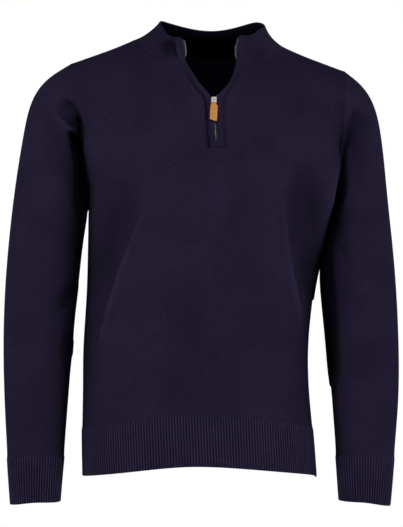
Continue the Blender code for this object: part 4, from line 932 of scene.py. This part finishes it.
def add(name, points, faces, uvs, *surfaces, inside=None, sharp=(), tone=None):
    """A smooth mesh object with UVs in metres. The faces that inside marks take a second material,
    an edge between two of the points in sharp stays sharp, and tone is each point's painted light
    and shade."""
    mesh = bpy.data.meshes.new(name)
    mesh.from_pydata(points.tolist(), [], faces.tolist())
    if uvs is not None:
        mesh.uv_layers.new(name="UVMap").data.foreach_set("uv", uvs.astype(np.float32).ravel())
    for surface in surfaces:
        mesh.materials.append(surface)
    if inside is not None:
        mesh.polygons.foreach_set("material_index", inside.astype(np.int32))
    mesh.shade_smooth()
    if tone is not None:
        mesh.attributes.new("tone", "FLOAT", "POINT").data.foreach_set("value", tone)
    if len(sharp):
        ends = np.zeros(len(mesh.edges) * 2, np.int32)
        mesh.edges.foreach_get("vertices", ends)
        both = np.isin(ends.reshape(-1, 2), sharp).all(1)
        mesh.attributes.new("sharp_edge", "BOOLEAN", "EDGE").data.foreach_set("value", both)
    obj = bpy.data.objects.new(name, mesh)
    bpy.context.scene.collection.objects.link(obj)
    return obj


def settle(obj, body, slot, *nodes):
    """A piece rides on its body and stands for its CAD nodes; slot is not used."""
    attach(obj, body)
    if nodes:
        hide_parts(*nodes)
    return obj


def free_rows(patch, *rows):
    """Which points of a patch lie in the rows that no seam holds."""
    free = np.zeros(patch[0].shape[:2], bool)
    free[list(rows)] = True
    return free


def ribbing(surface, part, dense, foot, top, metre, joined):
    """The ribs from foot to top of the torso or a sleeve, with their relief. metre turns a row's
    height into metres, and ribs that aren't joined round are cut short at the side seams."""
    ring = surface(part, dense, top)
    ribs = round(np.linalg.norm(np.diff(ring, axis=0), axis=1).sum() / RIB_PITCH)
    places = np.linspace(0, 1, ribs * RIB_CUTS + 1)
    if not joined:
        places = np.delete(places, (1, 2, -3, -2))
    relief = (0.5 - 0.5 * np.cos(2 * math.pi * ribs * places)) * RIB_RELIEF - RIB_RELIEF / 2
    rows = np.linspace(foot, top, RIB_ROWS + 1)[:, None]
    grid = surface(part, np.interp(places, lengths(ring), dense)[None], rows)
    patch = mapped(grid, places * (ribs * RIB_PITCH), rows * metre)
    return patch, relief * smooth((top - rows) * metre / RIB_FADE)


def ribbed_surfaces():
    made = {}
    for face in ("front", "back"):
        columns = np.linspace(-1, 1, RING_POINTS["torso"])
        patch, relief = ribbing(torso, face, columns, HEM_Z, RIB_TOP_Z, 1.0, False)
        if face == "back":
            patch, relief = turned(patch), relief[:, ::-1]
        made["hem_rib_" + face] = Surface([patch], relief, free_rows(patch, 0))
    for side, word in SIDES.items():
        turns = np.linspace(0, 360, RING_POINTS["sleeve"])[::side]
        top = ring_share(side, CUFF_ROW)
        patch, relief = ribbing(sleeve, side, turns, 1.0, top, -SLEEVE_LONG, True)
        made["cuff_" + word] = Surface([patch], relief, free_rows(patch, 0))
    return made


def band_surface(side):
    """A zip band, crowned across, with its lip closing over the foot of the zip."""
    shares = band_shares()
    seam, lip = edge(side, "seam", shares), edge(side, "lip", shares)
    grid, uvs = strip_patch(side, BAND_COLUMNS, seam, lip, BAND_WIDE)
    across = np.array(BAND_COLUMNS)[::-side]
    grid[..., 0] += np.interp(grid[..., 2], *LIP_SHIFTS[side].T) * across**2
    free = free_rows((grid, uvs), -1)
    free[:, 0 if side > 0 else -1] = True
    relief = np.broadcast_to(BAND_BULGE * 4 * across * (1 - across), grid.shape[:2])
    return Surface([(grid, uvs)], relief, free)


def make_surfaces():
    """The outer surface of every cut piece, with its creases, and its points' normals."""
    neck = collar_patch()
    surfaces = {
        "front": Surface(body_patches("front")),
        "back": Surface(body_patches("back")),
        "sleeve_left": Surface([sleeve_patch(-1)]),
        "sleeve_right": Surface([sleeve_patch(1)]),
        "collar": Surface([neck], free=free_rows(neck, -1)),
        **ribbed_surfaces(),
        "zip_band_left": band_surface(-1),
        "zip_band_right": band_surface(1),
    }
    groups = (
        ("front", "back", "hem_rib_front", "hem_rib_back"),
        ("sleeve_left", "cuff_left"),
        ("sleeve_right", "cuff_right"),
        ("collar",),
        ("zip_band_left", "zip_band_right"),
    )
    for name in PLAIN:
        surfaces[name].points = relaxed(surfaces[name], RELAXED)
    normals = shared_normals(surfaces, groups)
    for name, surface in surfaces.items():
        push, surface.tone = crease_push(name, surface.points, normals[name])
        surface.points = surface.points + push
    return surfaces, shared_normals(surfaces, groups)


def make_cloth(looks):
    """Every cut piece of cloth, as a shell that stands for its CAD solid."""
    surfaces, normals = make_surfaces()
    made = {}
    for name, surface in surfaces.items():
        slot, look, thickness = CLOTHS.get(name.split("_")[0], ("navy_knit", "navy_knit", CLOTH))
        *shape, source = shell(surface, normals[name], thickness)
        number = np.arange(len(shape[1])) - len(surface.faces)
        inside = (number >= 0) & (number < len(surface.faces))
        # the insides take darker copies of the navy: painted shade
        shaded_inside = looks["inner_collar" if name == "collar" else "inside"]
        rim = np.unique(border(surface.faces)[0])
        obj = add(name + "_knit", *shape, looks[look], shaded_inside, inside=inside,
                  sharp=rim[~surface.free[rim]], tone=surface.tone[source])
        made[name] = settle(obj, "garment", slot, name)
    return made


def strip_normals(side):
    """The outward normal along a zip band, at each of the rows of band_shares."""
    shares = band_shares()
    up = np.gradient(edge(side, "lip", shares), axis=0)
    across = (edge(side, "lip", shares) - edge(side, "seam", shares)) * -side
    return unit(np.cross(across, up))


def sheet_surface(patch):
    """A surface whose edges are all free, and its normals."""
    surface = Surface([patch], free=np.ones(patch[0].shape[:2], bool))
    return surface, shared_normals({"it": surface}, (("it",),))["it"]


def make_tapes(looks):
    """The zip's woven tapes, behind the bands."""
    made = {}
    for side, word in SIDES.items():
        shares, even = band_shares(), strip_normals(side)
        last, away = edge(side, "tape", shares), edge(side, "seam", shares)
        first = last + (away - last) * TAPE_WIDE
        grid, uvs = strip_patch(side, TAPE_COLUMNS, first, last, TAPE_ACROSS)
        grid -= even[:, None] * (BAND_CLOTH + TAPE_GAP)
        *shape, _ = shell(*sheet_surface((grid, uvs)), TAPE_CLOTH, SEAM_GAP, TAPE_CLOTH / 2)
        name = "zip_tape_" + word
        obj = add(name + "_weave", *shape, looks["navy_tape"])
        made[name] = settle(obj, "garment", "navy_tape", name)
    return made


def tooth_shape():
    """A tooth, one unit long each way: a block with round edges, its head a little swollen."""
    quarter = ((1, 0.6), (0.6, 1), (-0.6, 1), (-1, 0.6))
    corners = np.array([*quarter, *np.negative(quarter)]) / 2
    rings = [
        (x, y * high, z * wide)
        for x, wide, high in TOOTH_RINGS
        for y, z in corners
    ]
    faces = []
    for ring in range(0, len(rings) - 8, 8):
        for a, b in zip(range(8), (*range(1, 8), 0)):
            faces.append((ring + b, ring + a, ring + a + 8, ring + b + 8))
    last = len(rings) - 8
    for a, b, c, d in ((0, 1, 2, 3), (4, 5, 6, 7), (0, 3, 4, 7)):
        faces.append((a, b, c, d))
        faces.append((last + d, last + c, last + b, last + a))
    return np.array(rings), np.array(faces)


def repeated(shape, frames):
    """Copies of a small shape as one mesh, one for each frame of (place, x, y, z)."""
    points, faces = shape
    places = [place + points @ np.array([x, y, z]) for place, x, y, z in frames]
    steps = np.arange(len(places))[:, None, None] * len(points)
    return np.vstack(places), (faces[None] + steps).reshape(-1, 4)


def make_teeth(looks):
    """The zip's metal teeth, on the edges of its tapes."""
    for side, word in SIDES.items():
        shares, even = band_shares(), strip_normals(side)
        line = edge(side, "tape", shares) - even * (BAND_CLOTH + TAPE_GAP + TAPE_CLOTH / 2)
        long = np.linalg.norm(np.diff(line, axis=0), axis=1).sum()
        start = TOOTH_PITCH * TOOTH_STARTS[side]
        at = np.arange(start, long - TOOTH_PITCH / 2, TOOTH_PITCH) / long
        knots = lengths(line)
        place, out = spline(knots, line, at), unit(spline(knots, even, at))
        up = unit(spline(knots, line, at + WAY_STEP) - spline(knots, line, at - WAY_STEP))
        across = unit(np.cross(up, out)) * side
        place = place + across * np.interp(place[:, 2], *TOOTH_TUCKS[side].T)[:, None]
        wide, thick, high = TOOTH_SIZE
        frames = zip(place, across * wide, -out * thick, up * high)
        points, faces = repeated(tooth_shape(), frames)
        faces = faces[:, ::-side]
        obj = add("zip_teeth_" + word, points, faces, None, looks["zip_teeth"])
        settle(obj, "garment", "silver_metal")


def tab_surface():
    """The leather's middle surface: up the tab's front, round the ring's bar and down its back."""
    foot = np.linspace(*TAB_FOOT, TAB_ACROSS)[None]
    up, bend, turn = (np.linspace(0, 1, rows)[:, None] for rows in TAB_ROWS)
    turn = turn[1:-1] * math.pi
    front = foot + (KNEE - foot) * up
    rise = KNEE + (-RING_LONG - KNEE) * bend[1:] * np.ones_like(foot)
    over = -RING_LONG + FOLD_RADIUS * np.sin(turn) * np.ones_like(foot)
    high = np.vstack([front, rise, over, rise[::-1], front[::-1]])
    flare = smooth((rise - KNEE) / (-RING_LONG - KNEE))
    near = TAB_LAYERS / 2 + (FOLD_RADIUS - TAB_LAYERS / 2) * flare
    flat = 0 * front + TAB_LAYERS / 2
    deep = np.vstack([flat, near, FOLD_RADIUS * np.cos(turn) + 0 * foot, -near[::-1], -flat])
    above = np.clip((high - foot) / TAB_CORNER, 0, 1)
    half = np.interp(high, *TAB_HALF.T) - TAB_CORNER * (1 - np.sqrt(1 - (1 - above) ** 2))
    around = np.linspace(0, 1, TAB_ACROSS)[None]
    wide = np.interp(high, *TAB_MIDDLE.T) + half * (2 * around - 1)
    return np.stack([wide, -deep, high], -1)


def in_pull(points):
    """Points from the pull's own frame: across, into the garment and up."""
    across, up = np.array(PULL_ACROSS), np.array(PULL_UP)
    return np.array(PULL_PLACE) + points @ np.array([across, np.cross(up, across), up])


def stitches():
    """The stitches down both edges of the tab and along its foot, on its front and its back."""
    left, right = TAB_MIDDLE[0, 1] - TAB_HALF[0, 1], TAB_MIDDLE[0, 1] + TAB_HALF[0, 1]
    inset, top = STITCH_INSET, STITCH_TOP
    line = np.array([(left + inset, top), (left + inset, TAB_FOOT[0] + inset),
                     (right - inset, TAB_FOOT[1] + inset), (right - inset, top)])
    frames = []
    for side in (-1, 1):
        out = side * (TAB_LAYERS / 2 + LEATHER / 2)
        for start, step in zip(line, np.diff(line, axis=0)):
            long = np.linalg.norm(step)
            way, over = step / long, np.array([0, float(side), 0])
            along_it = np.array([way[0], 0, way[1]])
            sizes = (along_it, np.cross(over, along_it), over)
            for at in np.arange(STITCH_PITCH / 2, long, STITCH_PITCH):
                x, z = start + way * at
                scaled = (way * size for way, size in zip(sizes, STITCH_SIZE))
                frames.append((np.array([x, out, z]), *scaled))
    return repeated(tooth_shape(), frames)


def make_tab(looks):
    """The leather tab, folded double round the ring's bar, and its stitches."""
    grid = tab_surface()
    patch = mapped(grid, np.linspace(0, 1, grid.shape[1]), np.linspace(0, 1, len(grid))[:, None])
    surface, normals = sheet_surface(patch)
    surface.points = surface.points + normals * LEATHER / 2
    points, faces, uvs, _ = shell(surface, normals, LEATHER, 0.0, LEATHER / 2)
    rim = np.arange(len(faces)) >= 2 * len(surface.faces)
    tab = add("tab_leather", in_pull(points), faces, uvs, looks["tan_leather"],
              looks["leather_edge"], inside=rim)
    settle(tab, "pull", "tan_leather", "pull_tab")
    points, faces = stitches()
    thread = add("tab_stitches", in_pull(points), faces, None, looks["thread"])
    settle(thread, "pull", "tan_leather")


# ---------------------------------------------------------------- materials

TURN = 2 * math.pi
NAVY = ((0.0120, 0.0093, 0.0225, 1), (0.0350, 0.0270, 0.0620, 1))
INSIDE_SHADE_SHARE, INNER_COLLAR_SHADE_SHARE = 0.10, 0.30  # how much of the navy the insides show: darker copies of it, as painted shade inside the garment
COLLAR_RISE = (0.030, 0.047, 0.06, 1.15)  # how the painted shade on the collar's inside lightens up to its edge
STITCH_WIDE, STITCH_HIGH, STITCH_DEEP = 0.0015, 0.0011, 0.00035
STITCH_SLANT = 1.3  # how far a stitch's sides rise, in turns of its pattern for each width
STITCH_FAT = 0.6
RIB_SHADE_AND_HIGHLIGHT = (0.62, 1.75)  # painted shade between two ribs and painted highlight on top of one
GAP_REACH = 0.07  # how near another fold must be for painted shade to take light away
GAP_RAMP = (0.30, 0.80, 0.03, 1.0)
AO_SAMPLES = 6
TWILL_PITCH = 0.0009
TAPE_NAVY = ((0.012, 0.011, 0.022, 1), (0.024, 0.022, 0.044, 1))
SILVER = (0.40, 0.40, 0.41, 1.0)
TEETH_SILVER = (0.42, 0.42, 0.43, 1.0)
METAL_ROUGH, TEETH_ROUGH = (0.44, 0.58), (0.22, 0.36)  # between scratches and in them
# painted shade on the teeth where the bands close over them: its reach and ramp
TEETH_GAP = 0.006
TEETH_RAMP = (0.15, 0.95, 0.08, 1.0)
TAN = ((0.46, 0.165, 0.024, 1), (0.66, 0.315, 0.062, 1))
TAN_EDGE = ((0.10, 0.035, 0.010, 1), (0.26, 0.11, 0.035, 1))
THREAD = ((0.50, 0.24, 0.06, 1), (0.85, 0.50, 0.17, 1))


class Value:
    """An output of a material's node tree, which can be reckoned with."""

    def __init__(self, nodes, socket):
        self.nodes, self.socket = nodes, socket

    def __add__(self, other):
        return self.nodes.math("ADD", self, other)

    def __sub__(self, other):
        return self.nodes.math("SUBTRACT", self, other)

    def __mul__(self, other):
        return self.nodes.math("MULTIPLY", self, other)

    def __truediv__(self, other):
        return self.nodes.math("DIVIDE", self, other)


class Nodes:
    """A material's node tree, with short ways to add to it."""

    def __init__(self, name, **constants):
        self.material = bpy.data.materials.new(name)
        self.material.use_nodes = True
        self.tree = self.material.node_tree
        self.shader = self.tree.nodes["Principled BSDF"]
        for socket, value in constants.items():
            self.shader.inputs[socket.replace("_", " ")].default_value = value

    def put(self, kind, inputs, output=0, **settings):
        """A new node, with its inputs set or linked. Gives the output asked for."""
        node = self.tree.nodes.new("ShaderNode" + kind)
        for name, value in settings.items():
            setattr(node, name, value)
        for socket, value in inputs.items():
            if isinstance(value, Value):
                self.tree.links.new(value.socket, node.inputs[socket])
            else:
                node.inputs[socket].default_value = value
        return Value(self, node.outputs[output])

    def math(self, operation, *values):
        return self.put("Math", dict(enumerate(values)), operation=operation)

    def ramp(self, value, low, high, to_low=0.0, to_high=1.0):
        inputs = {"Value": value, "From Min": low, "From Max": high}
        return self.put("MapRange", {**inputs, "To Min": to_low, "To Max": to_high})

    def mix(self, share, first, second, blend="MIX"):
        """A colour between two, or with the blend MULTIPLY the product of two."""
        inputs = {0: share, 6: first, 7: second}
        return self.put("Mix", inputs, output=2, data_type="RGBA", blend_type=blend)

    def uvs(self):
        """The places across and up a piece of cloth, in metres."""
        across = self.put("SeparateXYZ", {0: self.put("UVMap", {}, uv_map="UVMap")})
        return across, Value(self, across.socket.node.outputs[1])

    @cached_property
    def place(self):
        """The place in the object's own frame, in metres."""
        return self.put("TexCoord", {}, output=3)

    def noise(self, scale, detail=2.0):
        return self.put("TexNoise", {"Vector": self.place, "Scale": scale, "Detail": detail})

    def openness(self, reach, *ramp):
        """How much light finds its way into a place: less in deep folds and narrow gaps. It darkens
        a colour as painted shade.
        """
        open_share = self.put("AmbientOcclusion", {"Distance": reach}, 1, samples=AO_SAMPLES)
        return self.ramp(open_share, *ramp)

    def link(self, value, socket):
        self.tree.links.new(value.socket, self.shader.inputs[socket])

    def bump(self, height, distance, strength=1.0):
        inputs = {"Height": height, "Distance": distance, "Strength": strength}
        self.link(self.put("Bump", inputs), "Normal")


def knit_look(name, dark, light, ribbed=False, rise=None):
    """Fine jersey: V-shaped stitches in columns, with a slight mix of shades in the yarn. rise
    makes it lighter up the piece, from one height to another, as painted shade that lifts."""
    n = Nodes(name, Roughness=0.92, Sheen_Weight=0.02, Sheen_Roughness=0.5,
              Sheen_Tint=(0.55, 0.50, 0.75, 1.0), Specular_IOR_Level=0.0)
    across, up = n.uvs()
    half = n.math("ABSOLUTE", n.math("FRACT", across / STITCH_WIDE) - 0.5)
    phase = up / STITCH_HIGH + half * STITCH_SLANT
    lobe = n.math("MULTIPLY_ADD", n.math("COSINE", phase * TURN), 0.5, 0.5)
    ridge = n.math("SUBTRACT", 1.0, n.math("ABSOLUTE", half - 0.25) * 4.0)
    stitch = n.math("POWER", lobe, STITCH_FAT) * n.math("POWER", ridge, STITCH_FAT)
    fuzz, yarn, cloud = n.noise(1400.0), n.noise(320.0), n.noise(14.0, 3.0)
    # painted shade in the grooves between stitches, mixed with the yarn's own shades
    groove_shade_and_yarn = stitch * 0.45 + yarn * 0.35 + cloud * 0.35
    colour = n.mix(n.ramp(groove_shade_and_yarn, 0.25, 0.85), dark, light)
    # Painted light and shade: the tone attribute holds the creases' painted shade and the ridges'
    # painted highlights, and openness darkens gaps and folds with painted shade.
    painted_light = n.put("Attribute", {}, 2, attribute_name="tone")
    tone = n.openness(GAP_REACH, *GAP_RAMP) * painted_light
    if rise:
        tone = tone * n.ramp(up, *rise)
    if ribbed:
        # painted shade between the ribs and painted highlight on their tops
        rib = n.math("COSINE", across * (TURN / RIB_PITCH))
        tone = tone * n.ramp(rib, 1.0, -1.0, *RIB_SHADE_AND_HIGHLIGHT)
    n.link(n.mix(1.0, colour, tone, "MULTIPLY"), "Base Color")
    n.bump(stitch + fuzz * 0.35, STITCH_DEEP)
    return n.material


def tape_look(name):
    """Woven tape: a close twill."""
    n = Nodes(name, Roughness=0.8, Specular_IOR_Level=0.3, Sheen_Weight=0.1)
    across, up = n.uvs()
    twill = n.math("SINE", (across + up * 0.6) * (TURN / TWILL_PITCH))
    share = n.ramp(twill + n.noise(900.0), -1.0, 2.0)
    n.link(n.mix(share, *TAPE_NAVY), "Base Color")
    n.bump(twill, 0.00015)
    return n.material


def metal_look(name, colour, rough, in_gap=False):
    """Silver-coloured metal with fine scratches, darker with painted shade where cloth closes over
    it.
    """
    n = Nodes(name, Metallic=1.0, Base_Color=colour)
    scratch, dull = n.noise(2600.0, 4.0), n.noise(220.0)
    tone = n.ramp(dull, 0.3, 0.7, 0.75, 1.05)
    if in_gap:
        # painted shade where the cloth closes over the teeth
        tone = tone * n.openness(TEETH_GAP, *TEETH_RAMP)
    n.link(n.mix(1.0, colour, tone, "MULTIPLY"), "Base Color")
    n.link(n.ramp(scratch, 0.3, 0.7, *rough), "Roughness")
    n.bump(scratch, 0.00002, 0.6)
    return n.material


def leather_look(name, dark, light):
    """Tan leather with a fine grain and a cloudy dye."""
    n = Nodes(name, Roughness=0.5, Specular_IOR_Level=0.3)
    inputs = {"Vector": n.place, "Scale": 2200.0}
    grain = n.put("TexVoronoi", inputs, feature="DISTANCE_TO_EDGE")
    pores, cloud = n.noise(3000.0, 3.0), n.noise(160.0, 3.0)
    share = n.ramp(cloud * 0.8 + pores * 0.3, 0.35, 0.85)
    n.link(n.mix(share, dark, light), "Base Color")
    n.link(n.ramp(pores, 0.3, 0.7, 0.42, 0.60), "Roughness")
    n.bump(n.math("MINIMUM", grain, 0.12), 0.0006, 0.8)
    return n.material


def thread_look(name):
    """Waxed thread, twisted."""
    n = Nodes(name, Roughness=0.6, Specular_IOR_Level=0.3)
    twist = n.noise(4200.0)
    n.link(n.mix(twist, *THREAD), "Base Color")
    n.bump(twist, 0.00008)
    return n.material


def make_looks():
    inner, inner_collar = (
        [tuple(c * share for c in colour[:3]) + (1,) for colour in NAVY]
        for share in (INSIDE_SHADE_SHARE, INNER_COLLAR_SHADE_SHARE)
    )
    return {
        "navy_knit": knit_look("navy_knit_look", *NAVY),
        "navy_rib": knit_look("navy_rib_look", *NAVY, ribbed=True),
        "navy_edge": knit_look("navy_edge_look", *NAVY),
        "inside": knit_look("inside_look", *inner),
        "inner_collar": knit_look("inner_collar_look", *inner_collar, rise=COLLAR_RISE),
        "navy_tape": tape_look("navy_tape_look"),
        "silver_metal": metal_look("silver_metal_look", SILVER, METAL_ROUGH),
        "zip_teeth": metal_look("zip_teeth_look", TEETH_SILVER, TEETH_ROUGH, in_gap=True),
        "tan_leather": leather_look("tan_leather_look", *TAN),
        "leather_edge": leather_look("leather_edge_look", *TAN_EDGE),
        "thread": thread_look("thread_look"),
    }


# ---------------------------------------------------------------- the studio

CAMERA_PLACE = (-0.0144, -3.0, -0.3416)
CAMERA_LENS = 128.1
FLOOR_Z = -1.45
FLOOR_RADIUS = 4.2
FLOOR_CORNERS = 96
AMBIENT = 0.03  # how bright the surroundings are to the cloth; they look white to the camera
MIRRORED = 0.30  # and to what mirrors them
LIGHT_SIZE = 1.2
LIGHTS_AIM = (0.0, 0.0, -0.35)
LIGHTS = (
    ("left", (-2.54, -1.78, -0.35), 22.0),
    ("right", (2.54, -1.78, -0.35), 22.0),
    ("above", (0.0, -2.54, 1.43), 44.0),
    ("beside_left", (-3.02, 0.70, -0.35), 15.0),
    ("beside_right", (3.02, 0.70, -0.35), 15.0),
    ("behind_left", (-1.7, 2.6, 0.4), 30.0),
    ("behind_right", (1.7, 2.6, 0.4), 30.0),
)


def put_in(name, data, place, turn):
    obj = bpy.data.objects.new(name, data)
    obj.location, obj.rotation_euler = place, turn
    bpy.context.scene.collection.objects.link(obj)
    return obj


def make_camera():
    """The camera of the photograph."""
    camera = bpy.data.cameras.new("camera")
    camera.lens = CAMERA_LENS
    camera.sensor_width = 36.0
    camera.sensor_fit = "AUTO"
    bpy.context.scene.camera = put_in("camera", camera, CAMERA_PLACE, (math.pi / 2, 0, 0))


def make_surroundings():
    """A white background that gives little light of its own."""
    world = bpy.data.worlds.new("studio")
    world.use_nodes = True
    bpy.context.scene.world = world
    tree = world.node_tree
    back = tree.nodes["Background"]
    back.inputs["Color"].default_value = (1.0, 1.0, 1.0, 1.0)
    path = tree.nodes.new("ShaderNodeLightPath")
    picks = []
    for ray, level in (("Is Glossy Ray", MIRRORED), ("Is Camera Ray", 1.0)):
        picks.append(tree.nodes.new("ShaderNodeMix"))
        picks[-1].inputs[3].default_value = level
        tree.links.new(path.outputs[ray], picks[-1].inputs[0])
    picks[0].inputs[2].default_value = AMBIENT
    tree.links.new(picks[0].outputs[0], picks[1].inputs[2])
    tree.links.new(picks[1].outputs[0], back.inputs["Strength"])


def make_studio():
    """A pale floor, a white background, soft light and the camera."""
    make_camera()
    for name, place, power in LIGHTS:
        light = bpy.data.lights.new(name, "AREA")
        light.shape = "DISK"
        light.size = LIGHT_SIZE
        light.energy = power
        aim = Vector(LIGHTS_AIM) - Vector(place)
        put_in(name, light, place, aim.to_track_quat("-Z", "Y").to_euler())
    turns = np.linspace(0, 2 * math.pi, FLOOR_CORNERS + 1)[:-1]
    points = np.stack([np.cos(turns) * FLOOR_RADIUS, np.sin(turns) * FLOOR_RADIUS,
                       np.full(FLOOR_CORNERS, FLOOR_Z)], 1)
    pale = Nodes("floor_look", Base_Color=(0.86, 0.86, 0.86, 1.0), Roughness=0.9)
    floor = add("floor", points, np.arange(FLOOR_CORNERS)[None], None, pale.material)
    make_surroundings()
    bpy.context.scene.view_settings.view_transform = "Standard"


# ---------------------------------------------------------------- everything


def main():
    looks = make_looks()
    made = make_cloth(looks)
    made.update(make_tapes(looks))
    make_teeth(looks)
    make_tab(looks)
    for node in ("slider", "pull_ring"):
        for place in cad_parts[node].material_slots:
            place.material = looks["silver_metal"]
    make_studio()


main()
